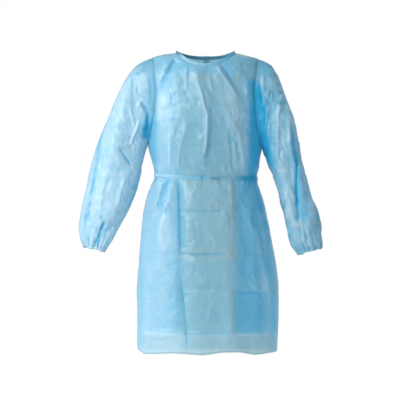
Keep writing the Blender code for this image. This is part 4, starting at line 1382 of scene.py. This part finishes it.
# The sleeve's and cuff's points ring by ring, and their creases and facets.
def sleevePoints(side, armholeRing):
    look = sleeveLook
    places, curves = ringTable(side)
    turn = np.linspace(0, 2 * np.pi, len(armholeRing), endpoint=False)
    offset = armholeRing - ringPoints(side, [curve[0] for curve in curves], turn)
    points = np.array([ringPoints(side, [curve[k] for curve in curves], turn) for k in range(len(places))])
    out = unit(points - points.mean(axis=1, keepdims=True))
    place = places[:, None]
    angles = turn[None, :] + 0 * place
    points = points + offset[None] * (1 - ease(place / look["armholeRings"]))[..., None]
    downArm = unit(points[-1].mean(axis=0) - points[-20].mean(axis=0))
    atEdge = ease((place - look["waveFrom"]) / look["waveOver"])
    wave = look["edgeWave"] * ripples(look["edgeFolds"], angles, 0) * atEdge
    points = points + downArm * wave[..., None]
    facing = np.sin(angles)
    shiftX, shiftZ = look["hiddenShift"]
    x, z = points[..., 0], points[..., 2]
    creases = inMetres(sleeveCreases[side]) + fineCreases(fineAreas[side], fineLook["sleeveSeed"])
    seen = creaseHeight(creases, x, z) * ease(facing * 2)
    hidden = creaseHeight(creases, x - shiftX, z - shiftZ) * ease(-facing * 2)
    crease = creaseLook["strength"] * (seen + hidden) * ease(place)
    facet = crumple(points) * creaseLook["sleeveFacets"][side] * ease(place)
    nearCuff = ease((place - look["gatherFrom"]) / look["gatherOver"])
    drift = look["drift"] * (look["lastRing"] - place)
    ripple = look["gatherHeight"] * ripples(look["wristFolds"], angles, drift)
    casing = np.clip(place - look["casingFrom"], 0, 1)
    puff = look["casingPuff"] * np.sin(np.pi * casing)
    fine = look["casingGathers"] * ripples(look["casingFolds"], angles, 0) * ease(casing * 3)
    smooth = (sleevePush(side, place, angles) * ease(place) + facet) * (1 - nearCuff)
    push = smooth + crease * (1 - look["creaseLoss"] * nearCuff) + puff + fine
    push = push + ripple * nearCuff * (1 - look["gatherLoss"] * ease(casing))
    shown = crease + toneLook["gathers"]["cuff"] * ripple * nearCuff
    return points + out * push[..., None], shown, facet / creaseLook["facetHeight"], angles


# Painted shade down the outside of the arm and along the seam under it, where the sleeve turns away from view,
# and along the cuff's edge.
def sleeveEdges(shades, angles, side):
    reach = toneLook["sleeveReach"]
    outerShade = bell(((angles + np.pi) % (2 * np.pi) - np.pi) / reach)
    under = bell((angles - np.pi) / reach)
    shades[..., 4] = toneLook["sleeveDark"][side] * (outerShade + toneLook["underDark"] * under)
    return addHemShade(shades)


armholes = {
    "left": np.concatenate([front[: last + 1, 0], backs["left"][last - 1 : 0 : -1, -1]]),
    "right": np.concatenate([front[: last + 1, -1], backs["right"][last - 1 : 0 : -1, -1]]),
}
sleeves, cuffs, sleeveGrids = {}, {}, {}
for side in sideSign:
    points, crease, facet, angles = sleevePoints(side, armholes[side])
    sleeveGrids[side] = points
    weld = np.zeros(points.shape[:2])
    weld[-2:] = 1
    shades = sleeveEdges(toneOf(side, points[..., 0], points[..., 2], crease, facet, weld), angles, side)
    ends = grid["ringsBetween"]
    turned = {"closed": True, "flip": side == "right"}
    sleeves[side] = addCloth(f"sleeve.{side}", points[:-ends], gownCloth, shades[:-ends], **turned)
    cuffs[side] = addCloth(f"cuff.{side}", points[-ends - 1 :], gownCloth, shades[-ends - 1 :], **turned)
    settle(sleeves[side], "cloth", f"sleeve_{side}")
    settle(cuffs[side], "trim", f"cuff_{side}")
print("the sleeves are made")

# The section of a strip folded double, as shares of its half-width and half-thickness
stripSection = [
    (-1.0, 0.0), (-0.96, 0.75), (-0.6, 1.0), (0.0, 1.05), (0.6, 1.0), (0.96, 0.75),
    (1.0, 0.0), (0.96, -0.75), (0.6, -1.0), (0.0, -1.0), (-0.6, -1.0), (-0.96, -0.75),
]
# The walls of strips and seam allowances, and how the allowances lie inside the cloth
trims = {
    "wall": 0.0003,
    "seamInside": 0.0009,
    "seamColumns": 4,
    "seamNarrow": 0.25,
    "seamFullZ": -0.075,
    "seamFullOver": 0.04,
}
beltLook = {
    "points": 141,
    "halfWidth": 0.0070,
    "halfThick": 0.0005,
    "off": 0.0013,
    "slant": 0.034,
    "drop": 0.006,
    "low": 0.004,
    "reach": 0.19,
    "wave": 0.0008,
    "waves": 31,
    # where the twist starts in front and at the back, and over what length it turns
    "twistFrom": {"front": 0.004, "back": -0.010},
    "twistOver": {"front": 0.054, "back": 0.020},
    "twistNarrow": 0.60,
    "twistOff": 0.9,
    # painted shade where the belt turns edge-on in its twist
    "twistDark": 0.6,
    "uneven": 0.12,
    "unevenWaves": 23,
    "wider": 0.35,
    "widerFromX": 0.10,
    "widerOver": 0.05,
}
beltMiddleZ = form["beltTopZ"] - form["beltHeight"] / 2 - beltLook["low"]


# The belt slants, and hangs a little lower across the front.
def beltLevel(x, onFront=True):
    sag = beltLook["drop"] * (1 - (x / beltLook["reach"]) ** 2)
    return beltMiddleZ - beltLook["slant"] * x - np.where(onFront, sag, 0)


# The belt is greyer over the middle, with painted shade as a deeper blue to the right and painted light as a
# paler blue to the left, and painted shade where it twists.
def beltShades(x, dark):
    toRight = ease((x - 0.09) / 0.06)
    shades = np.zeros((len(x), 1, 5))
    shades[:, 0, 0] = 0.45 * ease((x + 0.15) / 0.05) * (1 - toRight)
    shades[:, 0, 1] = 0.10 + 0.15 * ease((x + 0.13) / 0.06) + 0.65 * toRight
    shades[:, 0, 2] = 0.10 + 0.55 * ease((-x - 0.09) / 0.06)
    shades[:, 0, 4] = dark
    return np.clip(shades, 0, 1)


# The band round the waist, twisted once beside its tack and once at the back.
def addBelt():
    look, count = beltLook, beltLook["points"]
    sines = np.sin(np.linspace(-np.pi / 2, np.pi / 2, count))
    frontX = sines * reachAt(sines, np.full(count, beltMiddleZ))
    x = np.concatenate([frontX, frontX[-2:0:-1]])
    onFront = np.arange(len(x)) < count
    z = beltLevel(x, onFront) + look["wave"] * np.sin(look["waves"] * x)
    middle = np.where(onFront[:, None], torsoPoints(x, z, "front"), torsoPoints(x, z, "back"))
    further = np.where(onFront[:, None], torsoPoints(x, z, "front", 1.0), torsoPoints(x, z, "back", 1.0))
    out = unit(further - middle)
    up = np.broadcast_to([0.0, 0.0, 1.0], out.shape)
    turns = {face: ease((x - look["twistFrom"][face]) / look["twistOver"][face]) for face in depthOf}
    twist = np.pi * np.where(onFront, turns["front"], turns["back"])
    sine, cosine = np.sin(twist)[:, None], np.cos(twist)[:, None]
    onEdge = np.abs(sine[:, 0])
    uneven = 1 - look["uneven"] * np.abs(np.sin(look["unevenWaves"] * x))
    halfWidth = look["halfWidth"] * (1 - look["twistNarrow"] * onEdge) * uneven
    halfWidth = halfWidth * (1 + look["wider"] * ease((x - look["widerFromX"]) / look["widerOver"]))
    middle = middle + out * (look["off"] + look["twistOff"] * halfWidth * onEdge)[:, None]
    across, outward = up * cosine + out * sine, out * cosine - up * sine
    shades = beltShades(x, look["twistDark"] * onEdge * onFront)
    belt = addStrip("waistBelt", middle, across, outward, halfWidth, look["halfThick"], shades, ring=True)
    return settle(belt, "trim", "belt")


bindingLook = {
    "height": 0.011,
    "halfThick": 0.0012,
    "lean": 0.35,
    # how far it reaches below the neck edge, stands inside it and passes its own height
    "sink": 0.0012,
    "inside": 0.0005,
    "spare": 0.0010,
    "wave": 0.0004,
    "waves": 40,
    "stitchUp": 0.0016,
    "stitchOut": 0.0010,
    # the left corner of the neck, where the band folds over itself, and the painted shade at that corner and
    # inside the back band
    "cornerX": -0.112,
    "cornerReach": 0.012,
    "cornerDark": 0.9,
    "backDark": 0.65,
}


# Painted light as a paler blue on the front's left, painted shade as a deeper blue towards its right, inside
# the back band and at the left corner of the neck; greyer all round.
def bindingShades(x, atFront):
    corner = bell((x - bindingLook["cornerX"]) / bindingLook["cornerReach"])
    shades = np.zeros((len(x), 1, 5))
    shades[:, 0, 0] = 0.45
    shades[:, 0, 1] = np.where(atFront, 0.05 + 0.40 * ease(x / 0.07), 0.1)
    shades[:, 0, 2] = 0.40 * ease((0.02 - x) / 0.06) * atFront * (1 - corner)
    dark = np.where(atFront, 0, bindingLook["backDark"]) + bindingLook["cornerDark"] * corner
    shades[:, 0, 4] = np.clip(dark, 0, 1)
    return shades


# The band that holds the neck edge, from one end at the centre back to the other.
def addBinding():
    look = bindingLook
    keep = slice(grid["shoulderColumns"], grid["frontColumns"] - grid["shoulderColumns"] + 1)
    neckColumns = grid["backColumns"] - grid["backShoulderColumns"]
    left, right = backs["left"][0, :neckColumns], backs["right"][0, neckColumns - 1 :: -1]
    low = np.concatenate([left, front[0, keep], right])
    centre = np.array([0.0, (low[:, 1].min() + low[:, 1].max()) / 2, 0.0])
    inward = unit((centre - low) * (1, 1, 0))
    rise = unit(np.array([0, 0, 1.0]) + look["lean"] * inward)
    out = unit(np.cross(unit(np.gradient(low, axis=0)), rise))
    out = out * np.sign((out * -inward).sum(axis=1, keepdims=True))
    middle = low + rise * (look["height"] / 2 - look["sink"]) - out * look["inside"]
    wave = look["wave"] * np.sin(np.linspace(0, look["waves"], len(low)))
    shades = bindingShades(low[:, 0], out[:, 1] < 0)
    halfWidth = look["height"] / 2 + look["spare"] + wave
    band = addStrip("neckBinding", middle, rise, out, halfWidth, look["halfThick"], shades)
    settle(band, "trim", "neck_binding")
    return band, low + rise * look["stitchUp"] + out * look["stitchOut"]


tieLook = {
    "points": 90,
    "halfWidth": 0.0055,
    "halfThick": 0.0007,
    # narrower at the knot, and over what share of the length
    "narrow": 0.35,
    "narrowOver": 0.06,
    "off": 0.0018,
    "lift": 0.15,
    "sway": 0.0014,
    "swayOver": 0.2,
    "roll": 0.16,
    "rollOver": 0.3,
    "rollOff": 0.0009,
    "bend": 1.3,
}
# Loose ends: solid's name, x1, z1, x2, z2, how far the start stands off
looseEnds = {
    "neckTie.left": ("neck_tie_end_left", -0.0065, -0.0262, -0.034, -0.235, 0.0015),
    "neckTie.right": ("neck_tie_end_right", 0.0065, -0.0262, 0.024, -0.260, 0.0015),
    "beltEnd.left": ("belt_end_left", -0.0065, -0.4838, -0.042, -0.865, 0.0045),
    "beltEnd.right": ("belt_end_right", 0.0065, -0.4838, 0.030, -0.905, 0.0045),
}


def addLooseEnd(name, node, x1, z1, x2, z2, lift):
    look = tieLook
    t = np.linspace(0, 1, look["points"])
    sway = look["sway"] * np.sin(9 * t + 40 * x2) * ease(t / look["swayOver"])
    x = blend(x1, x2, t ** look["bend"]) + sway
    z = blend(z1, z2, t)
    push = np.maximum(panelPush(x, z, "back")[0], 0) + look["off"] + lift * (1 - ease(t / look["lift"]))
    middle = torsoPoints(x, z, "back", push)
    heading = unit(np.gradient(middle, axis=0))
    out = unit(np.cross(np.cross(heading, [0.0, 1.0, 0.0]), heading))
    across = unit(np.cross(out, heading))
    roll = (look["roll"] * np.sin(7 * t + 30 * x1) * ease(t / look["rollOver"]))[:, None]
    across, out = across * np.cos(roll) + out * np.sin(roll), out * np.cos(roll) - across * np.sin(roll)
    middle = middle + np.array([0, 1.0, 0]) * (look["rollOff"] * np.abs(roll) / look["roll"])
    halfWidth = look["halfWidth"] * (1 - look["narrow"] * (1 - ease(t / look["narrowOver"])))
    shades = np.zeros((len(t), 1, 5))
    shades[:, 0, 2] = 0.25 + 0.2 * np.sin(13 * t)
    strip = addStrip(name, middle, across, out, halfWidth, look["halfThick"], shades)
    return settle(strip, "trim", node)


belt = addBelt()
neckBinding, stitchLine = addBinding()
ties = {name: addLooseEnd(name, *place) for name, place in looseEnds.items()}
print("the belt, binding and ties are made")

knots = {
    # width, depth, height, how far the middle stands off the body, how deep its blue is, and the
    # wraps: tilt in degrees, share of the width, shift along x
    "beltKnot": {
        "size": (0.026, 0.010, 0.020), "off": 0.0073, "deep": 0.1,
        "wraps": [(28, 0.34, 0.001), (-34, 0.26, -0.003)],
    },
    "neckKnot": {
        "size": (0.026, 0.009, 0.016), "off": 0.0052, "deep": 0.1,
        "wraps": [(-26, 0.32, -0.002), (32, 0.26, 0.003)],
    },
    # the tack's deeper blue is painted shade
    "frontTack": {"size": (0.0085, 0.006, 0.019), "off": 0.0022, "deep": 0.6, "wraps": [(8, 0.60, 0.0)]},
}
knotLook = {
    "coreShare": (0.92, 0.78, 0.74),
    "cuts": 3,
    "cutSmooth": 0.6,
    "smooth": 0.5,
    "smoothTimes": 2,
    "band": 0.14,
    "bandRound": 30,
    "bandAcross": 8,
    "bumpHeight": 0.0006,
    "bumpSize": 0.0035,
}
tackX = -0.0222


def editAll():
    bpy.ops.object.mode_set(mode="EDIT")
    bpy.ops.mesh.select_all(action="SELECT")


# A small cushion of gathered strip with bands wrapped round it.
def addKnot(name, centre, *nodes):
    look = knots[name]
    size = np.array(look["size"])
    bpy.ops.object.select_all(action="DESELECT")
    bpy.ops.mesh.primitive_cube_add(size=1, location=(0, 0, 0))
    core = bpy.context.object
    core.name = name
    editAll()
    bpy.ops.mesh.subdivide(number_cuts=knotLook["cuts"], smoothness=knotLook["cutSmooth"])
    bpy.ops.mesh.vertices_smooth(factor=knotLook["smooth"], repeat=knotLook["smoothTimes"])
    bpy.ops.transform.resize(value=tuple(size * knotLook["coreShare"]), center_override=(0, 0, 0))
    bpy.ops.object.mode_set(mode="OBJECT")
    parts = [core]
    thick = knotLook["band"]
    for tilt, share, shift in look["wraps"]:
        bpy.ops.object.select_all(action="DESELECT")
        bpy.ops.mesh.primitive_torus_add(
            major_segments=knotLook["bandRound"],
            minor_segments=knotLook["bandAcross"],
            major_radius=1 - thick,
            minor_radius=thick,
            location=(0, 0, 0),
        )
        parts.append(bpy.context.object)
        editAll()
        value = (size[2] * 0.5, size[1] * 0.5, size[0] * share * 0.5 / thick)
        bpy.ops.transform.resize(value=value, center_override=(0, 0, 0))
        bpy.ops.transform.rotate(value=math.radians(90 + tilt), orient_axis="Y", center_override=(0, 0, 0))
        bpy.ops.transform.translate(value=(shift, 0, 0))
        bpy.ops.object.mode_set(mode="OBJECT")
    bpy.ops.object.select_all(action="DESELECT")
    for part in parts:
        part.select_set(True)
    bpy.context.view_layer.objects.active = core
    bpy.ops.object.join()
    rounding = core.modifiers.new("rounding", "SUBSURF")
    rounding.levels = rounding.render_levels = 1
    bpy.ops.object.modifier_apply(modifier="rounding")
    points = np.zeros(len(core.data.vertices) * 3)
    core.data.vertices.foreach_get("co", points)
    points = points.reshape(-1, 3)
    bumps = knotLook["bumpHeight"] * softNoise(points, knotLook["bumpSize"], 23)
    points = points + unit(points) * bumps[:, None]
    core.data.vertices.foreach_set("co", (points + np.array(centre)).ravel())
    core.data.update()
    core.data.shade_smooth()
    core.data.materials.append(trimCloth)
    layer = core.data.attributes.new("tone", "FLOAT_COLOR", "POINT")
    layer.data.foreach_set("color", np.tile([0, look["deep"], 0, 0], len(points)).astype(np.float32))
    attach(core, "root")
    return settle(core, "trim", *nodes)


# How far forward or back the body's surface is.
def surfaceY(x, z, face):
    return torsoPoints(np.array([x]), np.array([z]), face)[0, 1]


beltY = surfaceY(0.0, beltMiddleZ, "back") + knots["beltKnot"]["off"]
beltKnot = addKnot("beltKnot", (0, beltY, beltMiddleZ), "belt_knot")
neckY = surfaceY(0.0, backNeckZ, "back") + knots["neckKnot"]["off"]
neckKnot = addKnot("neckKnot", (0, neckY, backNeckZ + bindingLook["height"] / 2), "neck_knot")
# the little fold of strip that holds the belt at the centre front
tackZ = float(beltLevel(tackX))
frontTack = addKnot("frontTack", (tackX, surfaceY(tackX, tackZ, "front") - knots["frontTack"]["off"], tackZ))
print("the knots are made")

thread = {
    "radius": 0.00022,
    "length": 0.0023,
    "pitch": 0.0033,
    "corners": 6,
    "endShare": 0.1,
    "cuffOff": 0.0003,
    "tackHeight": 0.0105,
    "tackPitch": 0.0007,
    "tackBars": 8,
    "tackOff": 0.0034,
    "tackLean": 0.05,
}


# One stitch, rounded at both ends, lying along x.
def modelStitch(length):
    bpy.ops.object.select_all(action="DESELECT")
    ends = thread["endShare"] * length
    bpy.ops.mesh.primitive_cylinder_add(
        vertices=thread["corners"], radius=thread["radius"], depth=length - 2 * ends, location=(0, 0, 0)
    )
    stitch = bpy.context.object
    bpy.ops.object.mode_set(mode="EDIT")
    bpy.ops.mesh.select_all(action="DESELECT")
    bpy.ops.object.mode_set(mode="OBJECT")
    for face in stitch.data.polygons:
        face.select = abs(face.normal.z) > 0.9
    bpy.ops.object.mode_set(mode="EDIT")
    bpy.ops.mesh.select_mode(type="FACE")
    bpy.ops.mesh.inset(thickness=thread["radius"] * 0.5, depth=ends)
    bpy.ops.mesh.select_all(action="SELECT")
    bpy.ops.transform.rotate(value=math.radians(90), orient_axis="Y", center_override=(0, 0, 0))
    bpy.ops.object.mode_set(mode="OBJECT")
    points = np.array([vert.co[:] for vert in stitch.data.vertices])
    faces = [list(face.vertices) for face in stitch.data.polygons]
    bpy.data.objects.remove(stitch)
    return points, faces


# Copies the stitch to each place, along its heading.
def addStitches(name, places, headings, length):
    points, faces = modelStitch(length)
    allPoints, allFaces = [], []
    for place, heading in zip(places, unit(headings)):
        side = unit(np.cross(heading, [0.0, 0.0, 1.0] if abs(heading[2]) < 0.9 else [1.0, 0.0, 0.0]))
        turn = np.stack([heading, side, np.cross(heading, side)])
        start = len(allPoints) * len(points)
        allPoints.append(points @ turn + place)
        allFaces += [[start + k for k in face] for face in faces]
    mesh = bpy.data.meshes.new(name)
    mesh.from_pydata(np.concatenate(allPoints).tolist(), [], allFaces)
    mesh.shade_smooth()
    mesh.materials.append(sewingThread)
    piece = bpy.data.objects.new(name, mesh)
    bpy.context.collection.objects.link(piece)
    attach(piece, "root")
    return settle(piece, "trim")


# Places a pitch apart on a line, and the line's heading there.
def along(line, pitch, closed=False):
    if closed:
        line = np.concatenate([line, line[:1]])
    gone = np.concatenate([[0], np.cumsum(np.linalg.norm(np.diff(line, axis=0), axis=1))])

    def placesAt(steps):
        return np.stack([np.interp(steps, gone, line[:, k]) for k in range(3)], axis=-1)

    steps = np.arange(pitch / 2, gone[-1], pitch)
    return placesAt(steps), placesAt(steps) - placesAt(steps - 0.0005)


def ringLine(side, ring, off):
    points = sleeveGrids[side][ring]
    return points + unit(points - points.mean(axis=0)) * off


bindingStitches = addStitches("bindingStitches", *along(stitchLine, thread["pitch"]), thread["length"])
for side in sideSign:
    line = ringLine(side, -grid["ringsBetween"] - 1, thread["cuffOff"])
    places, headings = along(line, thread["pitch"], closed=True)
    addStitches(f"cuffStitches.{side}", places, headings, thread["length"])
# the tack that holds the belt to the front: close upright bars of thread
barX = tackX + thread["tackPitch"] * (np.arange(thread["tackBars"]) - thread["tackBars"] / 2)
barY = torsoPoints(barX, beltLevel(barX), "front")[:, 1] - beltLook["off"] - thread["tackOff"]
tackPlaces = np.stack([barX, barY, beltLevel(barX)], axis=-1)
tackHeadings = np.array([[thread["tackLean"] * (-1) ** k, 0, 1.0] for k in range(thread["tackBars"])])
beltTack = addStitches("beltTack", tackPlaces, tackHeadings, thread["tackHeight"])
print("the stitches are made")


# Seam allowances, which lie against the inside and show through the cloth as darker or paler
# lines. Edge is the column that stays in place where an allowance is narrower, near the neck.
def addAllowance(name, points, flip=False, deep=0.55, pale=0.0, edge=None):
    rows, columns = points.shape[:2]
    if edge is not None:
        fixed = points[:, [edge]]
        wide = ease((trims["seamFullZ"] - fixed[..., 2:]) / trims["seamFullOver"])
        points = fixed + (points - fixed) * (trims["seamNarrow"] + (1 - trims["seamNarrow"]) * wide)
    faces, _ = gridFaces(rows, columns, flip=flip)
    normals = pointNormals(points.reshape(-1, 3), faces).reshape(points.shape)
    shades = np.zeros((rows, columns, 5))
    shades[..., 1] = deep
    shades[..., 2] = pale
    inner = points - normals * trims["seamInside"]
    return settle(addCloth(name, inner, gownCloth, shades, flip=flip, wall=trims["wall"]), "cloth")


strip = trims["seamColumns"]
shoulder = grid["shoulderColumns"] - 1
# painted light: the armhole and shoulder allowances are painted pale so that they don't darken the cloth over
# them
paleSeam = {"deep": 0.0, "pale": 1.0}
seams = {
    "front": [
        addAllowance("sideSeam.left", front[last:, :strip]),
        addAllowance("sideSeam.right", front[last:, -strip:]),
        addAllowance("armholeSeam.left", front[: last + 1, :strip], edge=0, **paleSeam),
        addAllowance("armholeSeam.right", front[: last + 1, -strip:], edge=-1, **paleSeam),
        addAllowance("shoulderSeam.left", front[:3, :shoulder], **paleSeam),
        addAllowance("shoulderSeam.right", front[:3, -shoulder:], **paleSeam),
    ]
}
for side in sideSign:
    points = sleeveGrids[side][: -grid["ringsBetween"]]
    middle = points.shape[1] // 2
    low = points[:, middle - 2 : middle + 2]
    seams[side] = [addAllowance(f"sleeveSeam.{side}", low, flip=side == "right")]
    backSeam = backs[side][:, -strip:]
    seams[f"back.{side}"] = [addAllowance(f"backSideSeam.{side}", backSeam, flip=side == "right")]
print("the seam allowances are made")


def declareSheet(piece, name):
    print(name, "measures", clothArea(piece), "square metres")


declareSheet(frontPanel, "front")
for side in sideSign:
    declareSheet(backPanels[side], f"back.{side}")
    declareSheet(sleeves[side], f"sleeve.{side}")
    declareSheet(cuffs[side], "cuff")
declareSheet(belt, "waistBelt")
declareSheet(neckBinding, "neckBinding")
for name, tie in ties.items():
    declareSheet(tie, name)

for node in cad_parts.values():
    node.data.materials.clear()
    node.data.materials.append(trimCloth)
